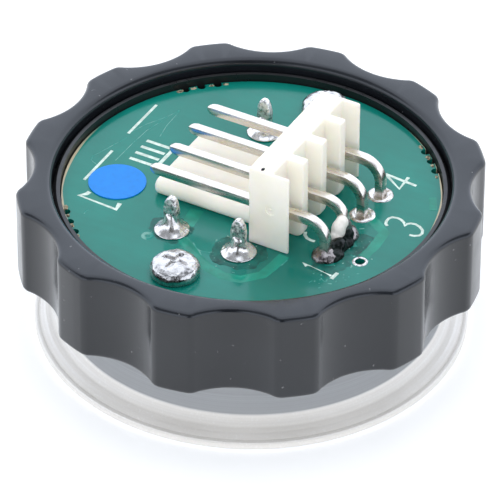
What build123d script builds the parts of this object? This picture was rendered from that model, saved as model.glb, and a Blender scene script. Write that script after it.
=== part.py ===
from build123d import *
import math
import os

# Elevator push button, seen from behind: it lies on the front face of its bezel, with
# +Z towards the back. Z = 0 is the bezel's front face and the Z axis is the barrel's axis.
# The connector's pins point along +Y and stand in a row along X. Millimetres.

# Driving radius: everything round follows the thread that the ring nut runs on
THREAD_RADIUS = 13.1
THREAD_CHAMFER = 0.2

# Metal bezel: a thin flange with a short neck that goes through the panel
NECK_RELIEF = 0.2             # the neck is this much smaller than the thread
NECK_WALL = 0.6
NECK_LENGTH = 4.7
FLANGE_WIDTH = 1.65           # how far the flange stands out from the neck
FLANGE_RIM = 0.62
FLANGE_EDGE_ROUND = 0.2
FLANGE_BACK_RISE = 0.5        # how far the flange's back rises from its rim to the neck's foot
FOOT_WIDTH = 0.5              # the 45 degree foot between the flange's back and the neck
LIP_WIDTH = 1.3               # the lip reaches in from the neck's bore to the round window
LIP_THICKNESS = 1.0

# Light ring behind the lip
RING_FIT = 0.1                # radial clearance of a fixed ring in its seat
LIGHT_RING_WIDTH = 1.3
LIGHT_RING_RECESS = 0.15      # its front lies this far behind the bezel's front
LIGHT_RING_FLANGE = 0.9

# Pressel: a metal cap on a moulded plunger
PRESS_TRAVEL = 0.3
CAP_GAP = 0.2                 # radial gap between the cap and the light ring
CAP_RECESS = 0.3
CAP_PLATE = 0.6
CAP_WALL = 0.55
CAP_SKIRT_GAP = 0.1           # between the cap's skirt and the plunger's flange
CAP_EDGE_ROUND = 0.3
PLUNGER_FIT = 0.05            # radial clearance of the plunger's disc in the cap
PLUNGER_FLANGE = 1.0
PLUNGER_GAP = 0.2             # radial gap between the plunger's flange and the housing
POST_RADIUS = 2.0
POST_HEIGHT = 1.4

# Threaded housing, pushed into the neck from behind
HOUSING_FIT = 0.05
SKIRT_WALL = 0.55
RIM_WALL = 0.45               # thin wall round the circuit board
RIM_ABOVE_BOARD = 0.54
KEY_WIDTH = 1.6               # guide keys that stop the plunger from turning
KEY_DEPTH = 0.8
KEY_CLEARANCE = 0.2
KEY_START_GAP = 0.3
BOSS_RADIUS = 2.2
BOSS_LENGTH = 3.7
WALL_OVERLAP = 0.1            # how far bosses and keys run into the housing's wall

# Ring nut with scalloped grip
NUT_WALL = 2.4
NUT_HEIGHT = 6.55
NUT_GAP = 3.35                # free neck between the flange's foot and the nut
NUT_THREAD_CLEARANCE = 0.1
NUT_LOBES = 12
NUT_PHASE = 9.9               # degrees from +X to the middle of a lobe
SCALLOP_DEPTH = 1.12
SCALLOP_RADIUS = 4.86
NUT_CORNER_ROUND = 0.35
NUT_EDGE_ROUND = 0.25
NUT_MOUTH_ROUND = 0.45

# Circuit board
BOARD_CLEARANCE = 0.08
BOARD_THICKNESS = 1.6
LEAD_HOLE_RADIUS = 0.6
PIN_HOLE_RADIUS = 0.5
VIA_RADIUS = 0.35
VIA_AT = (-3.27, -9.83)
BITE_RADIUS = 0.3             # break-off holes on the board's edge
BITE_INSET = 0.15
BITE_PITCH = 5.2
BITE_ANGLES = (45, 135, 225, 315)
BITES_PER_TAB = 3

# Board screws
SCREW_INSET = 1.5             # from the housing's bore to the screw's axis
SCREW_HOLE_CLEARANCE = 0.3
SCREW_FIT = 0.05
SCREW_RADIUS = 0.8
SCREW_LENGTH = 4.8
SCREW_POINT = 0.8
HEAD_RADIUS = 1.65
HEAD_SIDE = 0.4
HEAD_HEIGHT = 1.15
RECESS_WIDTH = 0.38
RECESS_LENGTH = 1.9
RECESS_DEPTH = 0.6

# Tact switch on the front of the board
SWITCH_BASE = 3.3
SWITCH_CORNER = 0.4
COVER_THICKNESS = 0.3
COVER_INSET = 0.1
STEM_RADIUS = 3.4
STEM_PROUD = 0.7
STEM_FIT = 0.06
COLLAR_WIDTH = 0.5
COLLAR_HEIGHT = 1.2
CAVITY_FIT = 0.1
DOME_RADIUS = 3.2
DOME_HEIGHT = 0.7
DOME_METAL = 0.12
LEAD_OUTSET = 0.25            # from the base's side to the lead's middle
LEAD_BODY_GAP = 0.07          # between a lead's solder and the connector's end
LEAD_PITCH = 5.0
LEAD_WIDTH = 0.9
LEAD_METAL = 0.35
LEAD_ROOT = 1.1               # how far each lead runs into the switch's base
LEAD_DROP = 0.9               # from the board's front to the lead's root
LEAD_PROUD = 2.7
LEAD_POINT = 0.9
LEAD_TIP_WIDTH = 0.25

# Return spring round the switch's stem
SPRING_RADIUS = 4.6
SPRING_WIRE = 0.4
SPRING_TURNS = 4
SPRING_POCKET = 1.2
SPRING_POCKET_GAP = 0.3
SPRING_END_GAP = 0.03

# Parts on the front of the board
LED_LENGTH = 3.5              # along the rim
LED_HEIGHT = 1.9
LED_WALL_GAP = 0.25
LED_SWITCH_GAP = 0.33         # between a lamp and the switch's rounded corner
LED_ANGLES = (45, 135, 225, 315)
LED_DISH_MARGIN = 0.2
LED_DISH_DEPTH = 0.35
CHIP_SIZE = (1.25, 2.0, 0.5)
CHIP_SPREAD = 3.7             # sideways from the middle of the diode
CHIP_GAP = 0.5                # between the switch's side and a chip
DIODE_SIZE = (4.3, 2.6, 1.9)
DIODE_TAB = (0.5, 1.4, 0.3)
DIODE_GAP = 0.8               # between the switch's side and the diode

# Solder
FILLET_RADIUS = 1.23          # round a switch lead
FILLET_NECK = 0.5
FILLET_HEIGHT = 1.1
PIN_FILLET_RADIUS = 0.85      # round a connector pin, on the board's front
PIN_FILLET_NECK = 0.46
PIN_FILLET_HEIGHT = 1.0
FLANK_SHARE = (0.3, 0.36)     # where the hollow flank's middle lies, across and up
BRIDGE_RADIUS = 1.0           # lump over the first two pins
BRIDGE_NECK = 0.5
BRIDGE_HEIGHT = 1.5
BLOB_RADIUS = 0.85

# Right-angle connector
PIN_COUNT = 4
PIN_PITCH = 2.54
PIN_WIDTH = 0.6
PIN_HEIGHT = 2.5              # pin's centreline above the board
PIN_BEND = 1.4
PIN_ROW_GAP = 1.58            # from the switch's side to the pins
PIN_REACH = 13.03             # from the pins' legs to their tips
PIN_TAIL = 1.6                # how far each pin stands out on the board's front
PIN_TAPER = 0.6
PIN_TIP_WIDTH = 0.3
BODY_END_TRIM = 0.26          # the body is this much shorter than its pitches
BODY_SETBACK = 5.1            # from the pins' legs to the connector's front
BODY_PLATE = 1.7
BODY_DEPTH = 2.92
BODY_HEIGHT = 5.97
BODY_EDGE_ROUND = 0.1
RIB_THICKNESS = 0.75
RIB_FOOT_ROUND = 0.6
LOCK_INSET = 1.4              # from each end of the body to the locking wall
LOCK_THICKNESS = 1.22
LOCK_END_ROUND = 0.3
LOCK_ROUND_SHARE = 0.49       # the wall's long edges are almost full rounds

# Round marker on the board
STICKER_RADIUS = 1.93
STICKER_THICKNESS = 0.08
STICKER_AT = (-3.49, 8.24)

# Radii that follow from the sizes above
neck_radius = THREAD_RADIUS - NECK_RELIEF
neck_bore = neck_radius - NECK_WALL
flange_radius = neck_radius + FLANGE_WIDTH
window_radius = neck_bore - LIP_WIDTH
ring_radius = window_radius - RING_FIT
ring_bore = ring_radius - LIGHT_RING_WIDTH
cap_radius = ring_bore - CAP_GAP
skirt_radius = neck_bore - HOUSING_FIT
housing_bore = skirt_radius - SKIRT_WALL
pocket_radius = THREAD_RADIUS - RIM_WALL
board_radius = pocket_radius - BOARD_CLEARANCE
plunger_radius = housing_bore - PLUNGER_GAP
nut_bore = THREAD_RADIUS + NUT_THREAD_CLEARANCE
nut_radius = nut_bore + NUT_WALL
collar_radius = STEM_RADIUS + COLLAR_WIDTH
screw_circle = housing_bore - SCREW_INSET

# Heights that follow, from the front to the back
flange_back = FLANGE_RIM + FLANGE_BACK_RISE
neck_foot = flange_back + FOOT_WIDTH
neck_top = neck_foot + NECK_LENGTH
nut_bottom = neck_foot + NUT_GAP
nut_top = nut_bottom + NUT_HEIGHT
cap_inside = CAP_RECESS + CAP_PLATE
ring_back = LIP_THICKNESS + LIGHT_RING_FLANGE
plunger_back = ring_back + PLUNGER_FLANGE
pocket_floor = plunger_back - SPRING_POCKET
stem_tip = plunger_back + POST_HEIGHT
cover_front = stem_tip + STEM_PROUD
switch_front = cover_front + COVER_THICKNESS
collar_back = switch_front + COLLAR_HEIGHT
cavity_floor = collar_back + DOME_HEIGHT
board_seat = switch_front + SWITCH_BASE
board_top = board_seat + BOARD_THICKNESS
housing_top = board_top + RIM_ABOVE_BOARD
pin_level = board_top + PIN_HEIGHT

# Places that follow: the switch's leads stand clear of the connector, the lamps clear of the switch
body_length = PIN_COUNT * PIN_PITCH - BODY_END_TRIM
lead_x = body_length / 2 + LEAD_BODY_GAP + FILLET_RADIUS
lead_y = LEAD_PITCH / 2
switch_side = 2 * (lead_x - LEAD_OUTSET)
corner_reach = switch_side / math.sqrt(2) - SWITCH_CORNER * (math.sqrt(2) - 1)
led_inside = corner_reach + LED_SWITCH_GAP
led_width = housing_bore - LED_WALL_GAP - led_inside
led_circle = led_inside + led_width / 2
led_dish_radius = led_width / 2 - LED_DISH_MARGIN
pin_row_y = -(switch_side / 2 + PIN_ROW_GAP)
pin_tip_y = pin_row_y + PIN_REACH
body_front_y = pin_row_y + BODY_SETBACK
lead_places = [(-lead_x, -lead_y), (-lead_x, lead_y), (lead_x, -lead_y), (lead_x, lead_y)]
screw_places = [(-screw_circle, 0), (screw_circle, 0)]
diode_y = switch_side / 2 + DIODE_GAP + DIODE_SIZE[1] / 2
chip_y = switch_side / 2 + CHIP_GAP + CHIP_SIZE[1] / 2
chip_places = [(side * CHIP_SPREAD, chip_y) for side in (-1, 1)]
pin_places = [((k - (PIN_COUNT - 1) / 2) * PIN_PITCH, pin_row_y) for k in range(PIN_COUNT)]
lock_width = body_length - 2 * LOCK_INSET
bite_circle = board_radius - BITE_INSET

NEAR = 1e-4                   # how closely an edge's place has to match when it is picked


def turned(points):
    """Solid of revolution about the Z axis from (radius, height) points."""
    outline = Wire.make_polygon([Vector(r, 0, z) for r, z in points], close=True)
    return revolve(Face(outline), axis=Axis.Z)


def disc(radius, low, high, at=(0, 0)):
    """Upright cylinder between two heights."""
    return Pos(at[0], at[1], low) * extrude(Circle(radius), high - low)


def block(x, y, z):
    """Box from three (low, high) pairs."""
    size = [high - low for low, high in (x, y, z)]
    centre = [(high + low) / 2 for low, high in (x, y, z)]
    return Pos(*centre) * Box(*size)


def ring_edges(solid, radius, height):
    """Circular edges about the Z axis with this radius at this height."""
    found = []
    for edge in solid.edges().filter_by(GeomType.CIRCLE):
        centre = edge.arc_center
        on_axis = math.hypot(centre.X, centre.Y) < NEAR
        if on_axis and abs(edge.radius - radius) < NEAR and abs(centre.Z - height) < NEAR:
            found.append(edge)
    return found


def crown_arc(radius, rim, crown):
    """Arc of a shallow round crown, from its rim to its middle on the Z axis."""
    rise = abs(crown - rim)
    ball = (radius ** 2 + rise ** 2) / (2 * rise)
    drop = ball - math.sqrt(ball ** 2 - (radius / 2) ** 2)
    halfway = crown + math.copysign(drop, rim - crown)
    return ThreePointArc((radius, 0, rim), (radius / 2, 0, halfway), (0, 0, crown)).edge()


def crowned_disc(radius, base, rim, crown):
    """Disc from base to rim with a round crown on it; the crown may lie above or below."""
    foot = Edge.make_line((0, 0, base), (radius, 0, base))
    side = Edge.make_line((radius, 0, base), (radius, 0, rim))
    axis = Edge.make_line((0, 0, crown), (0, 0, base))
    return revolve(Face(Wire([foot, side, crown_arc(radius, rim, crown), axis])), axis=Axis.Z)


def solder_cone(foot_radius, tip_radius, height, base, direction, at):
    """Solder fillet: a cone with a hollow flank, standing on the board at height base."""
    top = base + direction * height
    across, up = FLANK_SHARE
    middle_radius = tip_radius + (foot_radius - tip_radius) * across
    middle = base + direction * height * up
    foot = Edge.make_line((0, 0, base), (foot_radius, 0, base))
    flank = ThreePointArc((foot_radius, 0, base), (middle_radius, 0, middle), (tip_radius, 0, top)).edge()
    neck = Edge.make_line((tip_radius, 0, top), (0, 0, top))
    axis = Edge.make_line((0, 0, top), (0, 0, base))
    section = Face(Wire([foot, flank, neck, axis]))
    return Pos(at[0], at[1], 0) * revolve(section, axis=Axis.Z)


def bezel():
    """Flange, neck and the lip round the front window, turned in one piece."""
    foot_radius = neck_radius + FOOT_WIDTH
    body = turned([
        (window_radius, 0), (flange_radius, 0), (flange_radius, FLANGE_RIM), (foot_radius, flange_back),
        (neck_radius, neck_foot), (neck_radius, neck_top), (neck_bore, neck_top),
        (neck_bore, LIP_THICKNESS), (window_radius, LIP_THICKNESS)])
    rim = ring_edges(body, flange_radius, 0) + ring_edges(body, flange_radius, FLANGE_RIM)
    return fillet(rim, FLANGE_EDGE_ROUND)


def light_ring():
    """Translucent ring in the window, trapped behind the lip by its own flange."""
    seat_radius = neck_bore - RING_FIT
    return turned([
        (ring_bore, LIGHT_RING_RECESS), (ring_radius, LIGHT_RING_RECESS),
        (ring_radius, LIP_THICKNESS), (seat_radius, LIP_THICKNESS),
        (seat_radius, ring_back), (ring_bore, ring_back)])


def button_cap():
    """Pressed metal cap over the front of the plunger."""
    skirt_end = ring_back - CAP_SKIRT_GAP
    inner = cap_radius - CAP_WALL
    cap = turned([
        (0, CAP_RECESS), (cap_radius, CAP_RECESS), (cap_radius, skirt_end), (inner, skirt_end),
        (inner, cap_inside), (0, cap_inside)])
    return fillet(ring_edges(cap, cap_radius, CAP_RECESS), CAP_EDGE_ROUND)


def plunger():
    """Moulded carrier: disc in the cap, stop flange, post for the switch and a spring pocket."""
    disc_radius = cap_radius - CAP_WALL - PLUNGER_FIT
    pocket_half = SPRING_WIRE / 2 + SPRING_POCKET_GAP
    body = turned([
        (0, cap_inside), (disc_radius, cap_inside), (disc_radius, ring_back),
        (plunger_radius, ring_back), (plunger_radius, plunger_back), (0, plunger_back)])
    body += disc(POST_RADIUS, plunger_back, stem_tip)
    body -= (disc(SPRING_RADIUS + pocket_half, pocket_floor, plunger_back)
             - disc(SPRING_RADIUS - pocket_half, pocket_floor, plunger_back))
    notch_half = KEY_WIDTH / 2 + KEY_CLEARANCE
    notch_root = housing_bore - KEY_DEPTH - KEY_CLEARANCE
    for side in (-1, 1):
        reach = sorted((side * notch_root, side * housing_bore))
        body -= block((-notch_half, notch_half), reach, (ring_back, plunger_back))
    return body


def housing():
    """Threaded barrel with the board's ledge, two screw bosses and two guide keys."""
    body = turned([
        (housing_bore, ring_back), (skirt_radius, ring_back), (skirt_radius, neck_top),
        (THREAD_RADIUS, neck_top), (THREAD_RADIUS, housing_top - THREAD_CHAMFER),
        (THREAD_RADIUS - THREAD_CHAMFER, housing_top), (pocket_radius, housing_top),
        (pocket_radius, board_seat), (housing_bore, board_seat)])
    wall_reach = housing_bore + WALL_OVERLAP
    keep = disc(wall_reach, ring_back, board_seat)
    for place in screw_places:
        boss = disc(BOSS_RADIUS, board_seat - BOSS_LENGTH, board_seat, place) & keep
        hole = disc(SCREW_RADIUS + SCREW_FIT, board_seat - BOSS_LENGTH, board_seat, place)
        body = body + boss - hole
    key_start = ring_back + PRESS_TRAVEL + KEY_START_GAP
    for side in (-1, 1):
        reach = sorted((side * (housing_bore - KEY_DEPTH), side * wall_reach))
        key = block((-KEY_WIDTH / 2, KEY_WIDTH / 2), reach, (key_start, board_seat)) & keep
        body += key
    return body


def ring_nut():
    """Ring nut with twelve lands and round scallops between them."""
    outline = Circle(nut_radius)
    scallop = Circle(SCALLOP_RADIUS)
    reach = nut_radius - SCALLOP_DEPTH + SCALLOP_RADIUS
    step = 360 / NUT_LOBES
    for lobe in range(NUT_LOBES):
        angle = math.radians(NUT_PHASE + (lobe + 0.5) * step)
        outline -= Pos(reach * math.cos(angle), reach * math.sin(angle)) * scallop
    outline = fillet(outline.vertices(), NUT_CORNER_ROUND)
    nut = Pos(0, 0, nut_bottom) * extrude(outline, NUT_HEIGHT)
    rims = [edge for height in (nut_bottom, nut_top)
            for edge in nut.edges().filter_by_position(Axis.Z, height - NEAR, height + NEAR)]
    nut = fillet(rims, NUT_EDGE_ROUND)
    nut -= disc(nut_bore, nut_bottom, nut_top)
    nut = fillet(ring_edges(nut, nut_bore, nut_top), NUT_MOUTH_ROUND)
    return chamfer(ring_edges(nut, nut_bore, nut_bottom), NUT_EDGE_ROUND)


def circuit_board():
    """Round board with its holes and the remains of its break-off tabs."""
    board = disc(board_radius, board_seat, board_top)
    holes = [(place, SCREW_RADIUS + SCREW_HOLE_CLEARANCE) for place in screw_places]
    holes += [(place, LEAD_HOLE_RADIUS) for place in lead_places]
    holes += [(place, PIN_HOLE_RADIUS) for place in pin_places]
    holes.append((VIA_AT, VIA_RADIUS))
    for tab in BITE_ANGLES:
        for k in range(BITES_PER_TAB):
            angle = math.radians(tab + (k - (BITES_PER_TAB - 1) / 2) * BITE_PITCH)
            holes.append(((bite_circle * math.cos(angle), bite_circle * math.sin(angle)), BITE_RADIUS))
    for place, radius in holes:
        board -= disc(radius, board_seat, board_top, place)
    return board


def board_screw(place):
    """Self-tapping pan-head screw with a cross recess."""
    tip = board_top - SCREW_LENGTH
    top = board_top + HEAD_HEIGHT
    head = crowned_disc(HEAD_RADIUS, board_top, board_top + HEAD_SIDE, top)
    shank = turned([
        (0, tip), (SCREW_RADIUS, tip + SCREW_POINT), (SCREW_RADIUS, board_top), (0, board_top)])
    half_length = RECESS_LENGTH / 2
    half_width = RECESS_WIDTH / 2
    recess = block((-half_length, half_length), (-half_width, half_width), (top - RECESS_DEPTH, top))
    recess += block((-half_width, half_width), (-half_length, half_length), (top - RECESS_DEPTH, top))
    return Pos(place[0], place[1], 0) * (head + shank - recess)


def switch_lead(place):
    """Flat lead: a root in the switch's base and a leg up through the board to a pointed tip."""
    side = math.copysign(1, place[0])
    outer = abs(place[0]) + LEAD_METAL / 2
    inner = abs(place[0]) - LEAD_METAL / 2
    root_end = switch_side / 2 - LEAD_ROOT
    root_level = board_seat - LEAD_DROP
    tip_level = board_top + LEAD_PROUD
    y = (place[1] - LEAD_WIDTH / 2, place[1] + LEAD_WIDTH / 2)
    root = block(sorted((side * root_end, side * outer)), y, (root_level - LEAD_METAL, root_level))
    leg = block(sorted((side * inner, side * outer)), y, (root_level - LEAD_METAL, tip_level - LEAD_POINT))
    shoulder = tip_level - LEAD_POINT
    half_tip = LEAD_TIP_WIDTH / 2
    point_outline = Wire.make_polygon([
        Vector(side * inner, y[0], shoulder), Vector(side * inner, y[1], shoulder),
        Vector(side * inner, place[1] + half_tip, tip_level),
        Vector(side * inner, place[1] - half_tip, tip_level)], close=True)
    point = extrude(Face(point_outline), LEAD_METAL, dir=(side, 0, 0))
    return root + leg + point


def lead_solder(place):
    """Solder round one switch lead: fills the hole and rises up the lead."""
    joint = solder_cone(FILLET_RADIUS, FILLET_NECK, FILLET_HEIGHT, board_top, 1, place)
    joint += disc(LEAD_HOLE_RADIUS, board_seat, board_top, place)
    return joint - switch_lead(place)


def switch_base():
    """Moulded base of the tact switch, with the cavity for stem and dome."""
    outline = RectangleRounded(switch_side, switch_side, SWITCH_CORNER)
    base = Pos(0, 0, switch_front) * extrude(outline, SWITCH_BASE)
    base -= disc(collar_radius + CAVITY_FIT, switch_front, cavity_floor)
    for place in lead_places:
        base -= switch_lead(place)
    return base


def switch_cover():
    """Sheet-metal cover that holds the stem in the base."""
    side = switch_side - 2 * COVER_INSET
    plate = Pos(0, 0, cover_front) * extrude(RectangleRounded(side, side, SWITCH_CORNER), COVER_THICKNESS)
    return plate - disc(STEM_RADIUS + STEM_FIT, cover_front, switch_front)


def switch_stem():
    """Round actuator with the collar that stops under the cover."""
    return turned([
        (0, stem_tip), (STEM_RADIUS, stem_tip), (STEM_RADIUS, switch_front), (collar_radius, switch_front),
        (collar_radius, collar_back), (0, collar_back)])


def dome_solid(radius, height):
    """Solid dome with its flat side on the cavity's floor."""
    foot = Edge.make_line((0, 0, cavity_floor), (radius, 0, cavity_floor))
    axis = Edge.make_line((0, 0, cavity_floor - height), (0, 0, cavity_floor))
    section = Face(Wire([foot, crown_arc(radius, cavity_floor, cavity_floor - height), axis]))
    return revolve(section, axis=Axis.Z)


def switch_dome():
    """Snap dome of thin metal: its rim stands on the cavity's floor."""
    outer = dome_solid(DOME_RADIUS, DOME_HEIGHT)
    inner = dome_solid(DOME_RADIUS - DOME_METAL, DOME_HEIGHT - DOME_METAL)
    return outer - inner


def return_spring():
    """Round-wire compression spring between the plunger's pocket and the switch's cover."""
    low = pocket_floor + SPRING_WIRE / 2 + SPRING_END_GAP
    high = cover_front - SPRING_WIRE / 2 - SPRING_END_GAP
    path = Pos(0, 0, low) * Helix(pitch=(high - low) / SPRING_TURNS, height=high - low, radius=SPRING_RADIUS)
    wire = Plane(origin=path @ 0, z_dir=path % 0) * Circle(SPRING_WIRE / 2)
    return sweep(wire, path=path)


def led(angle):
    """Surface-mounted lamp on the board's front with a round dish."""
    face = board_seat - LED_HEIGHT
    body = block((-led_width / 2, led_width / 2), (-LED_LENGTH / 2, LED_LENGTH / 2), (face, board_seat))
    body -= disc(led_dish_radius, face, face + LED_DISH_DEPTH)
    return Rot(0, 0, angle) * (Pos(led_circle, 0, 0) * body)


def chip_resistor(place):
    """Flat chip resistor on the board's front."""
    length, width, height = CHIP_SIZE
    return Pos(place[0], place[1], board_seat - height / 2) * Box(length, width, height)


def diode():
    """Moulded diode with a flat tab at each end."""
    length, width, height = DIODE_SIZE
    tab_length, tab_width, tab_height = DIODE_TAB
    body = Pos(0, 0, board_seat - height / 2) * Box(length - 2 * tab_length, width, height)
    tabs = Pos(0, 0, board_seat - tab_height / 2) * Box(length, tab_width, tab_height)
    return Pos(0, diode_y, 0) * (body + tabs)


def header_pin(place):
    """Square pin: straight through the connector, bent down through the board."""
    x, y = place
    taper_start = pin_tip_y - PIN_TAPER
    path = FilletPolyline((x, taper_start, pin_level), (x, y, pin_level),
                          (x, y, board_seat - PIN_TAIL), radius=PIN_BEND)
    section = Plane(origin=(x, taper_start, pin_level), z_dir=(0, -1, 0)) * Rectangle(PIN_WIDTH, PIN_WIDTH)
    shaft = sweep(section, path=path)
    start = Plane(origin=(x, taper_start, pin_level), z_dir=(0, 1, 0))
    end = Plane(origin=(x, pin_tip_y, pin_level), z_dir=(0, 1, 0))
    tip = loft([start * Rectangle(PIN_WIDTH, PIN_WIDTH), end * Rectangle(PIN_TIP_WIDTH, PIN_TIP_WIDTH)])
    return shaft + tip


def header_housing():
    """Connector body: plate with ribs between the pins and a locking wall along the board."""
    half = body_length / 2
    back = body_front_y - BODY_DEPTH
    plate_back = body_front_y - BODY_PLATE
    top = board_top + BODY_HEIGHT
    body = block((-half, half), (back, body_front_y), (board_top, top))
    slot_half = (PIN_PITCH - RIB_THICKNESS) / 2
    for x, _ in pin_places:
        body -= block((x - slot_half, x + slot_half), (back, plate_back), (board_top, top))
    rib_feet = []
    for edge in body.edges().filter_by(Axis.X):
        centre = edge.center()
        on_foot = abs(centre.Y - back) < NEAR and abs(centre.Z - board_top) < NEAR
        if on_foot and abs(centre.X) < half - RIB_THICKNESS:
            rib_feet.append(edge)
    body = fillet(rib_feet, RIB_FOOT_ROUND)
    rim = [edge for edge in body.edges().filter_by_position(Axis.Z, top - NEAR, top + NEAR)]
    body = fillet(rim, BODY_EDGE_ROUND)
    wall_outline = Plane(origin=(0, body_front_y, board_top + LOCK_THICKNESS / 2), x_dir=(1, 0, 0),
                         z_dir=(0, 1, 0))
    long_edge_round = LOCK_THICKNESS * LOCK_ROUND_SHARE
    section = wall_outline * RectangleRounded(lock_width, LOCK_THICKNESS, long_edge_round)
    wall = extrude(section, pin_tip_y - body_front_y)
    end = wall.edges().filter_by_position(Axis.Y, pin_tip_y - NEAR, pin_tip_y + NEAR)
    wall = fillet(end, LOCK_END_ROUND)
    body += wall
    for place in pin_places:
        body -= header_pin(place)
    return body


def pin_solder(place):
    """Solder on the front of the board round one connector pin."""
    joint = solder_cone(PIN_FILLET_RADIUS, PIN_FILLET_NECK, PIN_FILLET_HEIGHT, board_seat, -1, place)
    return joint - header_pin(place)


def solder_bridge():
    """Lump of solder that joins the first two pins on the back of the board."""
    first, second = pin_places[0], pin_places[1]
    lump = solder_cone(BRIDGE_RADIUS, BRIDGE_NECK, BRIDGE_HEIGHT, board_top, 1, first)
    lump += solder_cone(BRIDGE_RADIUS, BRIDGE_NECK, BRIDGE_HEIGHT, board_top, 1, second)
    middle = ((first[0] + second[0]) / 2, (first[1] + second[1]) / 2)
    blob = Pos(middle[0], middle[1], board_top) * Sphere(BLOB_RADIUS)
    bar = block((first[0], second[0]), (pin_row_y - PIN_WIDTH, pin_row_y + PIN_WIDTH),
                (board_top, board_top + BLOB_RADIUS))
    upper = disc(2 * PIN_PITCH, board_top, board_top + BRIDGE_HEIGHT, middle)
    lump = lump + (blob & upper) + fillet(bar.edges().filter_by(Axis.X).group_by(Axis.Z)[-1], PIN_WIDTH / 2)
    for place in (first, second):
        lump -= header_pin(place)
    return lump


def sticker():
    """Round paper marker on the board."""
    return disc(STICKER_RADIUS, board_top, board_top + STICKER_THICKNESS, STICKER_AT)


nodes = {
    "bezel": bezel(),
    "light_ring": light_ring(),
    "button_cap": button_cap(),
    "plunger": plunger(),
    "housing": housing(),
    "ring_nut": ring_nut(),
    "circuit_board": circuit_board(),
    "return_spring": return_spring(),
    "switch_base": switch_base(),
    "switch_cover": switch_cover(),
    "switch_stem": switch_stem(),
    "switch_dome": switch_dome(),
    "diode": diode(),
    "header_housing": header_housing(),
    "solder_bridge": solder_bridge(),
    "sticker": sticker(),
}
for number, place in enumerate(lead_places, 1):
    nodes[f"switch_lead_{number}"] = switch_lead(place)
    nodes[f"switch_solder_{number}"] = lead_solder(place)
for number, place in enumerate(pin_places, 1):
    nodes[f"header_pin_{number}"] = header_pin(place)
    nodes[f"pin_solder_{number}"] = pin_solder(place)
for number, place in enumerate(screw_places, 1):
    nodes[f"board_screw_{number}"] = board_screw(place)
for number, angle in enumerate(LED_ANGLES, 1):
    nodes[f"led_{number}"] = led(angle)
for number, place in enumerate(chip_places, 1):
    nodes[f"resistor_{number}"] = chip_resistor(place)

os.makedirs("parts", exist_ok=True)
for name, shape in nodes.items():
    export_step(shape, f"parts/{name}.step")
    print(f"{name:18s} {shape.volume:10.3f} mm3")
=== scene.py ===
"""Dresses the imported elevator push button: detailed pieces, finishes, studio and camera."""

import math
import random

import bpy
from bpy.props import FloatProperty, FloatVectorProperty, IntProperty, PointerProperty
from mathutils import Matrix, Vector


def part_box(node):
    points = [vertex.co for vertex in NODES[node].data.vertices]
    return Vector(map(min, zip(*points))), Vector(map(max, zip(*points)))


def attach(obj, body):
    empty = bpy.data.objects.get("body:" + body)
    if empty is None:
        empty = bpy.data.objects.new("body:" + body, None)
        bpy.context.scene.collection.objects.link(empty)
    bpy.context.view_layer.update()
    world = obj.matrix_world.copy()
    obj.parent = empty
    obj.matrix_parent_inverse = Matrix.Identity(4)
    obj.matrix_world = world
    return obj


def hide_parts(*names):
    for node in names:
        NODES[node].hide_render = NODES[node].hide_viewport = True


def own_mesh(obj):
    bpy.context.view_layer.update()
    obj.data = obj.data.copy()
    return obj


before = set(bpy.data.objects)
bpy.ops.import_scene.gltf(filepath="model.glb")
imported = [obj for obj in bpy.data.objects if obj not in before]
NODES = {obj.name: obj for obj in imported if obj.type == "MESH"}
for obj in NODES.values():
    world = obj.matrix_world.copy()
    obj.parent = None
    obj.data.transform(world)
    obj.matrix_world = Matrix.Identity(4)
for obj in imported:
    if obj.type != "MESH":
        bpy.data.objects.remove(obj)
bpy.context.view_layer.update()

bl_info = {
    "name": "Elevator push button",
    "version": (1, 0, 0),
    "blender": (4, 5, 0),
    "location": "3D View > Sidebar > Push Button",
    "description": "Builds the visible pieces and finishes of a round panel push button",
    "category": "Object",
}

MM = 0.001
FULL_TURN = 2 * math.pi

# Camera and lamps: name, place, power and size

CAMERA_TURN = math.radians(-61.1)
CAMERA_SIDE = (-0.7058, -0.3896, 0.5916)
CAMERA_DISTANCE = 330.4 * MM
CAMERA_AIM = (-0.05 * MM, 0.09 * MM, -6.18 * MM)
CAMERA_LENS = 361.28
CAMERA_ROLL = math.radians(0.27)
LAMPS = (
    ("lamp_top", (0.26, 0.14, 0.6), 1.0, 0.6),
    ("lamp_front", (-0.58, -0.16, 0.16), 0.9, 0.5),
)

# The mirrored surroundings: how bright they are, how dark the gap at the camera and the band above are,
# and from where to where each reaches, with its soft border, along directions of length one

GLOSSY_LEVEL = 1.75
GAP_LEVEL = 0.03
BAND_SHARE = 0.82
GAP_ASIDE = (-0.24, 0.24, 0.06)
GAP_UP = (0.05, 0.86, 0.06)
GAP_TOWARDS = (0.0, 2.0, 0.05)
BAND_UP = (0.50, 0.93, 0.05)
BAND_TOWARDS = (-0.2, 2.0, 0.1)
FLOOR_SEEN = 0.215
FLOOR_MIRRORED = 0.39

# Places and levels on the object, in metres unless a comment says mm

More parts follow.
